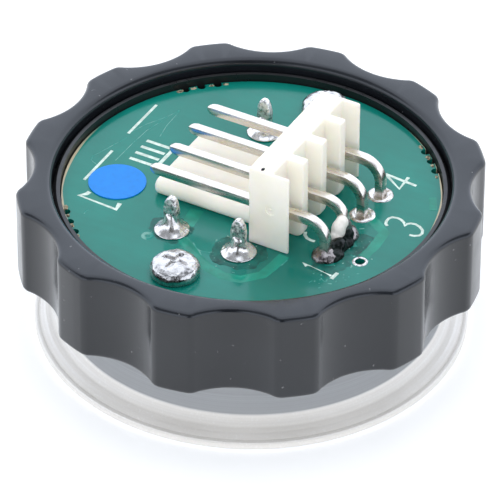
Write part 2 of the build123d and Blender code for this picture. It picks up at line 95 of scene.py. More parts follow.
BOARD_LOW, BOARD_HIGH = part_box("circuit_board")
BOARD_RADIUS = (BOARD_HIGH.x - BOARD_LOW.x) / 2
BOARD_TOP = BOARD_HIGH.z
NUT_BOTTOM, NUT_TOP = (corner.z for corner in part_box("ring_nut"))
NECK_START = 1.60 * MM
# Painted shade: the bezel's neck under the nut is coloured this darker grey-blue, for the nut's shade and the
# dark it mirrors.
NECK_SHADE_TONE = (0.36, 0.375, 0.395)
# Painted shade: the bare laminate rim shows only at the two board sides along this direction; elsewhere the
# edge stays green for the shade under the nut's rim.
UNSHADED_RIM_SIDE = math.radians(118.9)
PIN_PITCH = 2.54 * MM
PIN_HALF = 0.3                # mm
PIN_PLACES = [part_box(f"header_pin_{k}")[0].x + PIN_HALF * MM for k in range(1, 5)]
PLATE_DEPTH = 2.92 * MM
GATE_RADIUS = 0.36 * MM
GATE_DEPTH = 0.06 * MM
GATE_RISE = 3.1 * MM
SOOT_PLACE = (-4.64 * MM, -3.38 * MM)
LEAD_HALF_THICKNESS = 0.28 * MM
LEAD_POINT = 1.0 * MM
SPRING_WIRE = 0.2 * MM
FIRST_TAB = 45                # degrees
TAB_STEP = 90                 # degrees
BREAK_OFF_STEP = 5.2          # degrees

# What is printed and etched on the board: line widths and (x, y) points, in mm

PRINT_HEIGHT = 0.02
TRACK_HEIGHT = 0.03
SCRATCH_HEIGHT = 0.012
VIA_PLACE = (-3.27, -9.83)
TENTED_PLACE = (-7.61, 3.56)
PRINT_LINES = (
    (0.2, [(5.44, 10.38), (1.64, 10.39)]),
    (0.2, [(-0.57, 10.34), (-4.32, 10.30)]),
    (0.32, [(-5.30, 9.30), (-5.60, 9.36), (-5.97, 9.69), (-6.12, 6.81), (-5.42, 6.92)]),
    *((0.27, [(x, 7.10), (x, 8.90)]) for x in (-0.70, 0.05, 0.80, 1.55)),
    (0.27, [(-0.95, 6.85), (1.80, 6.85)]),
    (0.23, [(-5.38, -7.05), (-5.18, -6.70), (-5.51, -8.93)]),
    (0.27, [(-5.79, -9.08), (-5.04, -9.12)]),
    (0.23, [(-2.18, -5.21), (-2.50, -5.35), (-2.72, -5.62), (-2.80, -5.95), (-2.78, -6.24)]),
    (0.2, [(1.02, -9.57), (1.18, -9.37), (1.48, -9.27), (1.80, -9.27), (2.03, -9.42), (2.11, -9.74),
            (2.06, -10.05), (1.88, -10.35), (1.58, -10.57), (1.85, -10.60), (2.02, -10.78),
            (2.08, -11.10), (1.98, -11.45), (1.72, -11.80), (1.40, -11.94), (1.12, -11.88),
            (0.92, -11.60), (0.86, -11.28)]),
    (0.23, [(6.04, -6.77), (5.86, -9.19)]),
    (0.23, [(6.04, -6.77), (5.01, -8.36), (6.44, -8.29)]),
)
TRACK_LINES = (
    (0.95, [(-5.42, 1.89), (-3.55, 2.12)]),
    (0.78, [(-6.65, 1.63), (-7.18, 0.81), (-8.02, -0.34), (-8.63, -1.43), (-8.96, -2.80), (-8.71, -3.99),
            (-7.60, -5.00), (-6.54, -5.15), (-5.13, -5.26)]),
    (0.78, [(1.25, -8.19), (0.86, -8.84), (0.25, -9.76), (-1.31, -9.85), (-2.74, -9.72)]),
    (0.5, [(5.23, -10.72), (4.62, -11.10), (3.99, -11.42)]),
)
FLUX_PLACES = ((-6.25, -2.5, 1.78), (-6.25, 2.5, 1.45), (-4.3, -8.2, 1.35), (-2.0, -8.7, 1.2))
FLECK_RINGS = ((-6.25, -2.5, 1.3, 2.3, 34), (-5.2, -8.6, 0.9, 1.8, 22), (-3.27, -9.83, 0.5, 0.9, 8))
# Painted shade on the lacquer in front of the connector, towards the camera: its centre and reach in mm.
HEADER_SHADE_PLACE = (-6.2, -6.0)
HEADER_SHADE_REACH = 4.6
SCRATCH_LINES = (
    (0.05, [(1.64, 10.39), (3.18, 9.85), (4.56, 9.09), (5.51, 8.74)]),
    (0.05, [(-1.44, 9.59), (0.79, 9.57), (2.54, 9.48), (4.05, 9.13)]),
    (0.05, [(5.55, 8.66), (3.69, 8.59), (2.33, 8.36)]),
    (0.05, [(-2.45, 10.39), (-2.30, 10.80), (-2.16, 11.02), (-1.68, 11.16), (-1.07, 10.91), (-0.07, 10.62),
            (1.17, 10.23)]),
    (0.05, [(-7.05, 8.36), (-7.30, 8.42), (-7.57, 8.39)]),
    (0.06, [(-7.33, -0.02), (-7.30, -0.40), (-7.22, -0.78), (-6.98, -1.10), (-6.69, -1.38)]),
    (0.14, [(5.52, 8.78), (5.66, 8.70)]),
    (0.09, [(-5.64, -8.27), (-5.80, -8.36)]),
    (0.06, [(-6.05, -8.46), (-6.16, -8.62), (-6.24, -8.78), (-6.19, -8.98)]),
    (0.10, [(-6.33, -9.12), (-6.24, -9.36)]),
    (0.07, [(-5.98, -9.50), (-5.82, -9.46)]),
    (0.10, [(-5.88, -7.78), (-5.84, -7.86)]),
    (0.10, [(-6.80, 0.58), (-7.16, 0.20), (-7.30, -0.12), (-7.77, -0.57)]),
    (0.08, [(-8.02, -0.92), (-8.30, -1.28), (-8.46, -1.70), (-8.71, -2.59)]),
    (0.12, [(-8.84, -3.10), (-8.78, -3.52), (-8.60, -3.92)]),
    (0.08, [(-8.45, -4.36), (-8.12, -4.72), (-7.85, -4.99), (-7.40, -5.22)]),
    (0.10, [(-6.54, -5.37), (-6.02, -5.60), (-5.41, -5.64)]),
    (0.09, [(-6.83, -3.54), (-6.62, -3.80)]),
    (0.08, [(-6.01, -4.12), (-5.80, -4.40)]),
    (0.10, [(-7.60, -3.20), (-7.48, -3.46)]),
    (0.10, [(-0.17, -8.13), (0.03, -8.39)]),
    (0.08, [(-3.04, -9.19), (-2.90, -9.24), (-2.76, -9.29)]),
    (0.08, [(-2.67, -9.68), (-2.70, -9.80)]),
)


def length(text, default):
    """A size that the user can change, in metres."""
    return FloatProperty(name=text, description=text, default=default, min=0.0, precision=5,
                         subtype="DISTANCE", unit="LENGTH")


def colour(text, default):
    """A colour that the user can change."""
    return FloatVectorProperty(name=text, description=f"Colour of the {text.lower()}", default=default,
                               size=3, min=0.0, max=1.0, subtype="COLOR")


class NutSizes(bpy.types.PropertyGroup):
    """Sizes of the ring nut."""

    radius: length("Lobe radius", 15.6 * MM)
    bore: length("Bore radius", 13.2 * MM)
    scallop_radius: length("Scallop radius", 4.86 * MM)
    scallop_depth: length("Scallop depth", 1.12 * MM)
    corner_round: length("Corner rounding", 0.32 * MM)
    edge_round: length("Edge rounding", 0.36 * MM)
    mouth_round: length("Mouth rounding", 0.45 * MM)
    lobes: IntProperty(name="Lobes", description="Number of lobes", default=12, min=3)
    phase: FloatProperty(name="Phase", description="Angle from +X to the middle of a lobe",
                         default=math.radians(9.9), subtype="ANGLE", unit="ROTATION")


class ConnectorSizes(bpy.types.PropertyGroup):
    """Sizes of the right-angle connector."""

    pin_width: length("Pin width", 0.6 * MM)
    pin_level: length("Pin height above the board", 2.5 * MM)
    bend_radius: length("Bend radius", 1.4 * MM)
    taper: length("Tip taper", 0.55 * MM)
    rib: length("Rib thickness", 0.75 * MM)
    foot_round: length("Rib foot rounding", 0.6 * MM)
    plate: length("Plate thickness", 1.7 * MM)
    edge_round: length("Edge rounding", 0.14 * MM)
    wall_inset: length("Locking wall inset", 1.4 * MM)
    wall_height: length("Locking wall height", 1.22 * MM)


class SolderSizes(bpy.types.PropertyGroup):
    """Sizes of leads, solder and screws on the board."""

    lead_height: length("Lead height above the board", 2.7 * MM)
    lead_width: length("Lead width", 1.02 * MM)
    fillet_radius: length("Solder cone radius", 1.23 * MM)
    fillet_height: length("Solder cone height", 1.1 * MM)
    head_radius: length("Screw head radius", 1.65 * MM)
    head_height: length("Screw head height", 1.15 * MM)
    pad_radius: length("Pad radius", 0.88 * MM)


class Colours(bpy.types.PropertyGroup):
    """Colours of the button's finishes."""

    nut: colour("Ring nut", (0.009, 0.011, 0.015))
    housing: colour("Housing", (0.010, 0.010, 0.011))
    lacquer: colour("Board lacquer", (0.004, 0.215, 0.180))
    track: colour("Tracks under the lacquer", (0.007, 0.275, 0.205))
    laminate: colour("Bare laminate", (0.62, 0.56, 0.40))
    print: colour("Printed marks", (0.74, 0.93, 0.90))
    connector: colour("Connector housing", (0.955, 0.925, 0.855))
    sticker: colour("Round sticker", (0.004, 0.24, 0.82))
    steel: colour("Bezel steel", (0.86, 0.84, 0.81))
    solder: colour("Solder", (0.80, 0.77, 0.74))
    pins: colour("Tinned pins", (0.72, 0.67, 0.61))
    light_ring: colour("Light ring", (0.82, 0.83, 0.82))


def sizes(context):
    """The scene's size groups."""
    scene = context.scene
    return scene.nut_sizes, scene.connector_sizes, scene.solder_sizes


# Modelling tools

def clear_selection():
    """Nothing selected and object mode."""
    if bpy.context.object and bpy.context.object.mode != "OBJECT":
        bpy.ops.object.mode_set(mode="OBJECT")
    bpy.ops.object.select_all(action="DESELECT")


def activate(piece):
    """Make one piece the only selected and active one."""
    clear_selection()
    piece.select_set(True)
    bpy.context.view_layer.objects.active = piece


def object_mode():
    """Leave edit mode."""
    bpy.ops.object.mode_set(mode="OBJECT")


def settle(name):
    """Name the newly added primitive and put its place into its mesh."""
    piece = bpy.context.object
    piece.name = name
    piece.data.name = name
    bpy.ops.object.transform_apply(location=True, rotation=True, scale=True)
    return piece


def box(name, low, high):
    """Box between two corners, in metres."""
    clear_selection()
    centre = [(a + b) / 2 for a, b in zip(low, high)]
    extent = [b - a for a, b in zip(low, high)]
    bpy.ops.mesh.primitive_cube_add(size=1, location=centre)
    bpy.context.object.scale = extent
    return settle(name)


def cylinder(name, radius, low, high, vertices, at=(0.0, 0.0)):
    """Upright cylinder between two levels, in metres."""
    clear_selection()
    bpy.ops.mesh.primitive_cylinder_add(vertices=vertices, radius=radius, depth=high - low,
                                        location=(at[0], at[1], (low + high) / 2))
    return settle(name)


def ball(name, place, shares, subdivisions=3, radius=MM, turn=0.0):
    """Ball flattened to a share of its radius along each axis."""
    clear_selection()
    bpy.ops.mesh.primitive_ico_sphere_add(subdivisions=subdivisions, radius=radius, location=place)
    bpy.context.object.scale = shares
    bpy.context.object.rotation_euler = (0, 0, turn)
    return settle(name)


def move(piece, x, y, z=0.0):
    """Move a piece's mesh, in metres."""
    piece.data.transform(Matrix.Translation((x, y, z)))


def choose(piece, test, kind="FACE"):
    """Select in edit mode the faces or edges that pass the test; leaves edit mode on."""
    activate(piece)
    bpy.ops.object.mode_set(mode="EDIT")
    bpy.ops.mesh.select_mode(type="VERT")
    bpy.ops.mesh.select_all(action="DESELECT")
    bpy.ops.mesh.select_mode(type=kind)
    object_mode()
    mesh = piece.data
    if kind == "FACE":
        for face in mesh.polygons:
            face.select = test(face.center, face.normal)
    else:
        for edge in mesh.edges:
            a, b = (mesh.vertices[k].co for k in edge.vertices)
            edge.select = test(a, b)
    bpy.ops.object.mode_set(mode="EDIT")


def turned(name, profile, segments, ends="joined"):
    """Lathe work about Z from (radius, level) points in mm; its ends are joined, capped or left open."""
    clear_selection()
    radius, level = profile[0]
    bpy.ops.mesh.primitive_circle_add(vertices=segments, radius=radius * MM, fill_type="NOTHING",
                                      location=(0, 0, level * MM))
    piece = settle(name)
    bpy.ops.object.mode_set(mode="EDIT")
    bpy.ops.mesh.select_mode(type="EDGE")
    bpy.ops.mesh.select_all(action="SELECT")
    for new_radius, new_level in profile[1:]:
        bpy.ops.mesh.extrude_edges_move(
            TRANSFORM_OT_translate={"value": (0, 0, (new_level - level) * MM)})
        ratio = new_radius / radius
        bpy.ops.transform.resize(value=(ratio, ratio, 1), center_override=(0, 0, 0))
        radius, level = new_radius, new_level
    object_mode()
    near = 0.002 * MM

    def on_loop(a, b, corners):
        """Whether both ends of an edge lie on the circle through one of the profile's corners."""
        return any(all(abs(end.z - z * MM) < near and abs(end.xy.length - r * MM) < near for end in (a, b))
                   for r, z in corners)
    if ends == "joined":
        choose(piece, lambda a, b: on_loop(a, b, (profile[0], profile[-1])), "EDGE")
        bpy.ops.mesh.bridge_edge_loops()
    if ends == "capped":
        for corner in (profile[0], profile[-1]):
            choose(piece, lambda a, b: on_loop(a, b, (corner,)), "EDGE")
            bpy.ops.mesh.edge_face_add()
            object_mode()
    if ends != "open":
        recalculate(piece)
    return piece


def edit_all(piece, operator, **settings):
    """Run one edit operator on the whole mesh of a piece."""
    activate(piece)
    bpy.ops.object.mode_set(mode="EDIT")
    bpy.ops.mesh.select_all(action="SELECT")
    operator(**settings)
    object_mode()


def recalculate(piece):
    """Faces point outwards."""
    edit_all(piece, bpy.ops.mesh.normals_make_consistent, inside=False)


def round_edges(piece, test, width, segments):
    """Round the edges that pass the test."""
    choose(piece, test, "EDGE")
    bpy.ops.mesh.bevel(offset=width, segments=segments, affect="EDGES")
    object_mode()


def draw_out(way, scale=None, centre=None):
    """Extrude the chosen faces and scale their end about a centre."""
    bpy.ops.mesh.extrude_region_move(TRANSFORM_OT_translate={"value": way})
    if scale:
        bpy.ops.transform.resize(value=scale, center_override=centre)


def apply_modifier(piece, kind, **settings):
    """Add one modifier, set it and apply it."""
    activate(piece)
    modifier = piece.modifiers.new(kind.title(), kind)
    for key, value in settings.items():
        setattr(modifier, key, value)
    bpy.ops.object.modifier_apply(modifier=modifier.name)


def bevel(piece, width, segments, angle):
    """Round every edge sharper than the angle."""
    apply_modifier(piece, "BEVEL", width=width, segments=segments, limit_method="ANGLE",
                   angle_limit=math.radians(angle), miter_outer="MITER_ARC", harden_normals=False)


def smooth(piece, angle):
    """Smooth shading with sharp edges kept."""
    activate(piece)
    bpy.ops.object.shade_smooth_by_angle(angle=math.radians(angle))


def cut(piece, tool):
    """Cut the tool's shape out of the piece and remove the tool."""
    apply_modifier(piece, "BOOLEAN", operation="DIFFERENCE", object=tool, solver="EXACT")
    bpy.data.objects.remove(tool, do_unlink=True)


def fuse(name, pieces):
    """One closed piece from several that overlap."""
    first = pieces[0]
    for other in pieces[1:]:
        apply_modifier(first, "BOOLEAN", operation="UNION", object=other, solver="EXACT")
        bpy.data.objects.remove(other, do_unlink=True)
    first.name = name
    first.data.name = name
    return first


def join(name, pieces):
    """Several separate shells in one object."""
    clear_selection()
    for piece in pieces:
        piece.select_set(True)
    bpy.context.view_layer.objects.active = pieces[0]
    if len(pieces) > 1:
        bpy.ops.object.join()
    joined = bpy.context.object
    joined.name = name
    joined.data.name = name
    return joined


def copy_of(piece, name, matrix):
    """A copy with its own mesh, moved by the matrix."""
    activate(piece)
    bpy.ops.object.duplicate(linked=False)
    twin = bpy.context.object
    twin.name = name
    twin.data.name = name
    twin.data.transform(matrix)
    return twin


def soften(piece, voxel, rounds):
    """One closed skin over a piece, with its edges melted round."""
    apply_modifier(piece, "REMESH", mode="VOXEL", voxel_size=voxel)
    apply_modifier(piece, "SMOOTH", factor=0.7, iterations=rounds)


def grain(piece, size, depth, seed):
    """Push the surface in and out by smooth noise, as cast or worn metal has it."""
    texture = bpy.data.textures.new(f"{piece.name} grain", "CLOUDS")
    texture.noise_scale = size
    texture.noise_depth = 2
    shift = Matrix.Translation((seed, seed * 0.7, seed * 0.3))
    piece.data.transform(shift)
    apply_modifier(piece, "DISPLACE", texture=texture, strength=depth, mid_level=0.5,
                   texture_coords="LOCAL")
    piece.data.transform(shift.inverted())


def wire_along(name, kind, points, radius, resolution):
    """Round wire through points in metres, straight between them or as a smooth NURBS curve."""
    clear_selection()
    bpy.ops.curve.primitive_bezier_curve_add(radius=MM)
    wire = bpy.context.object
    wire.name = name
    wire.location = (0, 0, 0)
    wire.data.splines.clear()
    spline = wire.data.splines.new(kind)
    spline.points.add(len(points) - 1)
    for point, place in zip(spline.points, points):
        point.co = (*place, 1)
    if kind == "NURBS":
        spline.order_u = 3
        spline.use_endpoint_u = True
        spline.resolution_u = 2
    wire.data.bevel_depth = radius
    wire.data.bevel_resolution = resolution
    wire.data.use_fill_caps = True
    bpy.ops.object.convert(target="MESH")
    wire = bpy.context.object
    wire.data.name = name
    return wire


def stroke(name, points, width, height, level):
    """Flat printed line through (x, y) points in mm, standing on a level in metres."""
    line = wire_along(name, "POLY", [(x * MM, y * MM, 0) for x, y in points], width * MM / 2, 3)
    flatten = Matrix.Diagonal((1, 1, height / width, 1))
    line.data.transform(Matrix.Translation((0, 0, level)) @ flatten)
    smooth(line, 60)
    return line


# Finishes

def feed(tree, socket, value):
    """Wire a pattern into a socket, or set the socket to a constant."""
    if isinstance(value, bpy.types.NodeSocket):
        tree.links.new(value, socket)
    else:
        socket.default_value = value


def new_node(tree, kind, **inputs):
    """A node with its settings and inputs; an underscore stands for a space in an input's name."""
    made = tree.nodes.new(kind)
    for key, value in inputs.items():
        if hasattr(made, key):
            setattr(made, key, value)
        else:
            feed(tree, made.inputs[key.replace("_", " ")], value)
    return made


def calculate(tree, operation, *values, kind="ShaderNodeMath"):
    """The number that a math node makes of patterns and constants."""
    made = new_node(tree, kind, operation=operation)
    for socket, value in zip(made.inputs, values):
        feed(tree, socket, value)
    return made.outputs["Value"]


def measure(tree, operation, *vectors):
    """The number that a vector math node makes of vectors."""
    return calculate(tree, operation, *vectors, kind="ShaderNodeVectorMath")


def spread(tree, value, low, high, start, end, **settings):
    """A pattern mapped from start..end to low..high."""
    return new_node(tree, "ShaderNodeMapRange", Value=value, From_Min=start, From_Max=end, To_Min=low,
                    To_Max=high, **settings).outputs["Result"]


SOCKETS = {
    "metal": "Metallic", "rough": "Roughness", "ior": "IOR", "specular": "Specular IOR Level",
    "inside": "Subsurface Weight", "inside_scale": "Subsurface Scale", "inside_reach": "Subsurface Radius",
}


class Finish:
    """A node material: one shader with patterns wired into its sockets."""

    def __init__(self, name, **fixed):
        self.material = bpy.data.materials.new(name)
        self.material.use_nodes = True
        self.tree = self.material.node_tree
        self.shader = self.tree.nodes["Principled BSDF"]
        self.place = self.tree.nodes.new("ShaderNodeTexCoord").outputs["Object"]
        for key, value in fixed.items():
            self.shader.inputs[SOCKETS[key]].default_value = value

    def stretched(self, scale):
        """Object coordinates scaled along each axis."""
        return new_node(self.tree, "ShaderNodeMapping", Vector=self.place, Scale=scale).outputs["Vector"]

    def noise(self, scale, detail, where=None, rough=0.5):
        """Noise between 0 and 1, in features per metre."""
        return new_node(self.tree, "ShaderNodeTexNoise", Vector=where or self.place, Scale=scale,
                        Detail=detail, Roughness=rough).outputs["Fac"]

    def spread(self, value, low, high, start=0.3, end=0.7):
        """Noise mapped from start..end to low..high."""
        return spread(self.tree, value, low, high, start, end)

    def mix(self, share, first, second):
        """Colour that goes from first to second by share."""
        made = new_node(self.tree, "ShaderNodeMix", data_type="RGBA", Factor=share)
        for socket, value in ((made.inputs[6], first), (made.inputs[7], second)):
            feed(self.tree, socket, value if isinstance(value, bpy.types.NodeSocket) else (*value, 1))
        return made.outputs[2]

    def wire(self, value, socket):
        """A pattern into one of the shader's sockets."""
        self.tree.links.new(value, self.shader.inputs[socket])

    def mottled(self, scale, detail, first, second, start=0.3, end=0.7):
        """Colour that goes from first to second with noise between start and end."""
        return self.mix(self.spread(self.noise(scale, detail), 0, 1, start, end), first, second)

    def uneven_gloss(self, scale, detail, low, high):
        """Roughness between two values, by noise."""
        self.wire(self.spread(self.noise(scale, detail), low, high), "Roughness")

    def relief(self, scale, detail, depth, strength):
        """Surface relief from noise, its depth in mm."""
        self.bump(self.noise(scale, detail), depth * MM, strength)

    def bump(self, height, depth, strength):
        """Surface relief from a pattern, added to any relief that is there."""
        made = new_node(self.tree, "ShaderNodeBump", Height=height, Distance=depth, Strength=strength)
        before = self.shader.inputs["Normal"].links
        if before:
            self.tree.links.new(before[0].from_socket, made.inputs["Normal"])
        self.tree.links.new(made.outputs["Normal"], self.shader.inputs["Normal"])

    def from_axis(self):
        """Distance from the Z axis, in metres."""
        return measure(self.tree, "LENGTH", self.stretched((1, 1, 0)))


def tinted(base, factor):
    """The colour made lighter or darker."""
    return tuple(min(1.0, part * factor) for part in base)


def moulded(name, base, rough, relief=0.01, uneven=0.12, inside=0.0):
    """Moulded plastic: faint mottling, fine grain and uneven gloss; some lets light in."""
    made = Finish(name, rough=rough, inside=inside, inside_scale=0.8 * MM, inside_reach=(1.0, 0.75, 0.45))
    made.wire(made.mottled(380, 4, tinted(base, 1 - uneven), tinted(base, 1 + uneven)), "Base Color")
    made.uneven_gloss(1400, 3, rough * 0.8, min(1, rough * 1.25))
    made.relief(5200, 2, relief, 0.35)


def nut_plastic(colours):
    """Black moulded plastic, glossy and a little wavy, with a few specks of dust."""
    made = Finish("nut plastic", ior=1.5)
    body = made.mottled(260, 4, tinted(colours.nut, 0.85), tinted(colours.nut, 1.2))
    dust = made.spread(made.noise(2600, 2), 0, 0.4, 0.735, 0.775)
    made.wire(made.mix(dust, body, (0.30, 0.31, 0.33)), "Base Color")
    made.uneven_gloss(600, 3, 0.17, 0.27)
    made.relief(420, 2, 0.02, 0.25)
    made.relief(5200, 2, 0.002, 0.25)


def drawn_wire(name, base, rough):
    """Tinned drawn wire: faint lines along Y and small stains."""
    made = Finish(name, metal=1.0, rough=rough)
    lines = made.noise(700, 3, where=made.stretched((6, 0.5, 6)))
    stain = made.spread(made.noise(620, 4), 0, 0.5, 0.58, 0.75)
    shade = made.mix(made.spread(lines, 0, 1), tinted(base, 0.9), tinted(base, 1.05))
    made.wire(made.mix(stain, shade, (0.34, 0.27, 0.20)), "Base Color")
    made.wire(made.spread(lines, rough * 0.8, rough * 1.3), "Roughness")
    made.bump(lines, 0.003 * MM, 0.3)


def rough_steel(name, base, rough):
    """Matt turned steel that shines pale from every side; its neck under the nut is painted darker as shade.
    """
    made = Finish(name, metal=0.48, rough=rough, specular=0.5)
    radius = made.from_axis()
    level = new_node(made.tree, "ShaderNodeSeparateXYZ", Vector=made.place).outputs["Z"]
    rings = new_node(made.tree, "ShaderNodeCombineXYZ", X=radius, Y=level).outputs["Vector"]
    fine = made.noise(9000, 2, where=rings)
    broad = made.noise(900, 3, where=rings)
    sparkle = made.noise(6500, 3)
    shade = made.mix(made.spread(broad, 0, 1), tinted(base, 0.93), tinted(base, 1.05))
    # Painted highlight: white flecks in the colour stand for glints on the turned grain.
    bright = made.mix(made.spread(sparkle, 0, 0.35, 0.55, 0.75), shade, (1, 1, 1))
    # Painted shade: from NECK_START up, the steel takes the darker neck tone.
    neck = made.spread(level, 0, 1, NECK_START, NECK_START + 0.15 * MM)
    made.wire(made.mix(neck, bright, NECK_SHADE_TONE), "Base Color")
    made.wire(made.spread(fine, rough * 0.75, min(1, rough * 1.3)), "Roughness")
    made.bump(fine, 0.004 * MM, 0.5)
    made.bump(sparkle, 0.006 * MM, 0.5)


def bright_metal(name, base, rough, lump, lump_scale, grime_and_painted_dark=0.0, grime_and_painted_dark_colour=None, grime_and_painted_dark_scale=1900,
                 metal=1.0):
    """Bright metal with lumps that break up its reflections, and dark patches: grime on most finishes,
    painted dark reflections on the leads.
    """
    made = Finish(name, metal=metal, rough=rough)
    shade = made.mottled(2600, 3, tinted(base, 0.9), tinted(base, 1.06))
    if grime_and_painted_dark:
        patches = made.spread(made.noise(grime_and_painted_dark_scale, 5, rough=0.62), 0, grime_and_painted_dark, 0.48, 0.68)
        shade = made.mix(patches, shade, grime_and_painted_dark_colour)
    made.wire(shade, "Base Color")
    made.uneven_gloss(3400, 3, rough * 0.6, min(1, rough * 1.7))
    made.relief(lump_scale, 3, lump, 0.8)
    made.relief(lump_scale * 4, 2, lump * 0.2, 0.5)


def cap_steel(name, base, rough):
    """Steel brushed along one direction."""
    made = Finish(name, metal=1.0, rough=rough)
    lines = made.noise(900, 4, where=made.stretched((1, 26, 26)), rough=0.7)
    made.wire(made.mix(made.spread(lines, 0, 1), tinted(base, 0.88), tinted(base, 1.06)), "Base Color")
    made.wire(made.spread(lines, rough * 0.75, rough * 1.4), "Roughness")
    made.bump(lines, 0.006 * MM, 0.5)


def board_lacquer(colours):
    """Glossy green lacquer over copper, with a bare rim of laminate at the board's edge on two sides, painted
    shade over the rest of the rim and painted shade in front of the connector.
    """
    made = Finish("board lacquer", rough=0.16, ior=1.5, specular=0.33)
    green = made.mottled(230, 4, tinted(colours.lacquer, 0.9), tinted(colours.lacquer, 1.1))
    weave = made.noise(1600, 2, where=made.stretched((1, 0.25, 1)))
    green = made.mix(made.spread(weave, 0, 0.25), green, tinted(colours.lacquer, 0.7))
    # Painted shade: the lacquer is darkened round this place, where the connector shades it and blocks its
    # reflection.
    offset = measure(made.tree, "DISTANCE", made.place,
                     (HEADER_SHADE_PLACE[0] * MM, HEADER_SHADE_PLACE[1] * MM, BOARD_TOP))
    header_shade = made.spread(offset, 1, 0, HEADER_SHADE_REACH * 0.35 * MM, HEADER_SHADE_REACH * MM)
    green = made.mix(header_shade, green, tinted(colours.lacquer, 0.72))
    uneven = made.spread(made.noise(120, 2), -0.06 * MM, 0.14 * MM, 0.35, 0.65)
    reach = calculate(made.tree, "ADD", made.from_axis(), uneven)
    edge = made.spread(reach, 0, 1, BOARD_RADIUS - 0.06 * MM, BOARD_RADIUS - 0.01 * MM)
    # Painted shade: the laminate rim is kept only at the two sides along this direction and left green
    # elsewhere.
    across = measure(made.tree, "DOT_PRODUCT", made.place,
                     (math.cos(UNSHADED_RIM_SIDE), math.sin(UNSHADED_RIM_SIDE), 0))
    side = calculate(made.tree, "ABSOLUTE", across)
    unshaded_rim = made.spread(side, 0, 1, BOARD_RADIUS * 0.80, BOARD_RADIUS * 0.93)
    edge = calculate(made.tree, "MULTIPLY", edge, unshaded_rim)
    made.wire(made.mix(edge, green, tuple(colours.laminate)), "Base Color")
    made.uneven_gloss(900, 3, 0.1, 0.22)
    made.relief(700, 2, 0.01, 0.25)


def lacquered_track(colours):
    """Lacquer over a raised track: lighter and a little glossier."""
    made = Finish("lacquered track", rough=0.14, ior=1.5, specular=0.33)
    made.wire(made.mottled(900, 4, tinted(colours.track, 0.75), tinted(colours.track, 1.15)), "Base Color")
    made.relief(1500, 2, 0.01, 0.3)


def printed(colours):
    """White print, thin in places."""
    made = Finish("white print", rough=0.6)
    worn = made.mottled(2600, 4, tinted(colours.print, 0.72), tuple(colours.print), 0.4, 0.62)
    made.wire(worn, "Base Color")
    made.relief(5200, 2, 0.006, 0.4)


def scratched_lacquer(colours):
    """Lacquer broken to a pale line."""
    made = Finish("scratched lacquer", rough=0.5)
    broken = made.mottled(1800, 3, tinted(colours.lacquer, 1.2), (0.17, 0.42, 0.38), 0.4, 0.6)
    made.wire(broken, "Base Color")
    made.relief(5200, 2, 0.01, 0.5)


def torn_laminate(colours):
    """Fibre ends of broken laminate, from cream to brown."""
    made = Finish("torn laminate", rough=0.8)
    fibres = made.mottled(5200, 4, (0.05, 0.04, 0.025), tinted(colours.laminate, 0.75), 0.35, 0.6)
    made.wire(fibres, "Base Color")
    made.relief(9000, 3, 0.03, 0.9)


def flux_film(colours):
    """Thin dark flux on the lacquer with pale specks in it."""
    made = Finish("flux film", rough=0.3, specular=0.3)
    cloud = made.mottled(1500, 4, tinted(colours.lacquer, 0.30), tinted(colours.lacquer, 0.75))
    specks = made.spread(made.noise(5200, 2), 0, 0.8, 0.68, 0.74)
    made.wire(made.mix(specks, cloud, (0.45, 0.72, 0.64)), "Base Color")
    made.relief(2600, 3, 0.03, 0.8)


def clear_flux(name, base):
    """Burnt glassy flux."""
    made = Finish(name, rough=0.12, ior=1.5, specular=0.14)
    made.wire(made.mottled(1500, 4, tinted(base, 0.4), tinted(base, 1.6)), "Base Color")
    made.relief(1900, 3, 0.04, 0.6)


def dressed(piece, body, slot, finish, *replaced):
    """Ride, named finish and the CAD nodes that a piece stands for; the slot argument is not used."""
    piece.data.materials.clear()
    piece.data.materials.append(bpy.data.materials[finish])
    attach(piece, body)
    if replaced:
        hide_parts(*replaced)


def refinish(nodes, finish):
    """A named finish on CAD nodes whose shape is right."""
    for name in nodes:
        for place in NODES[name].material_slots:
            place.material = bpy.data.materials[finish]


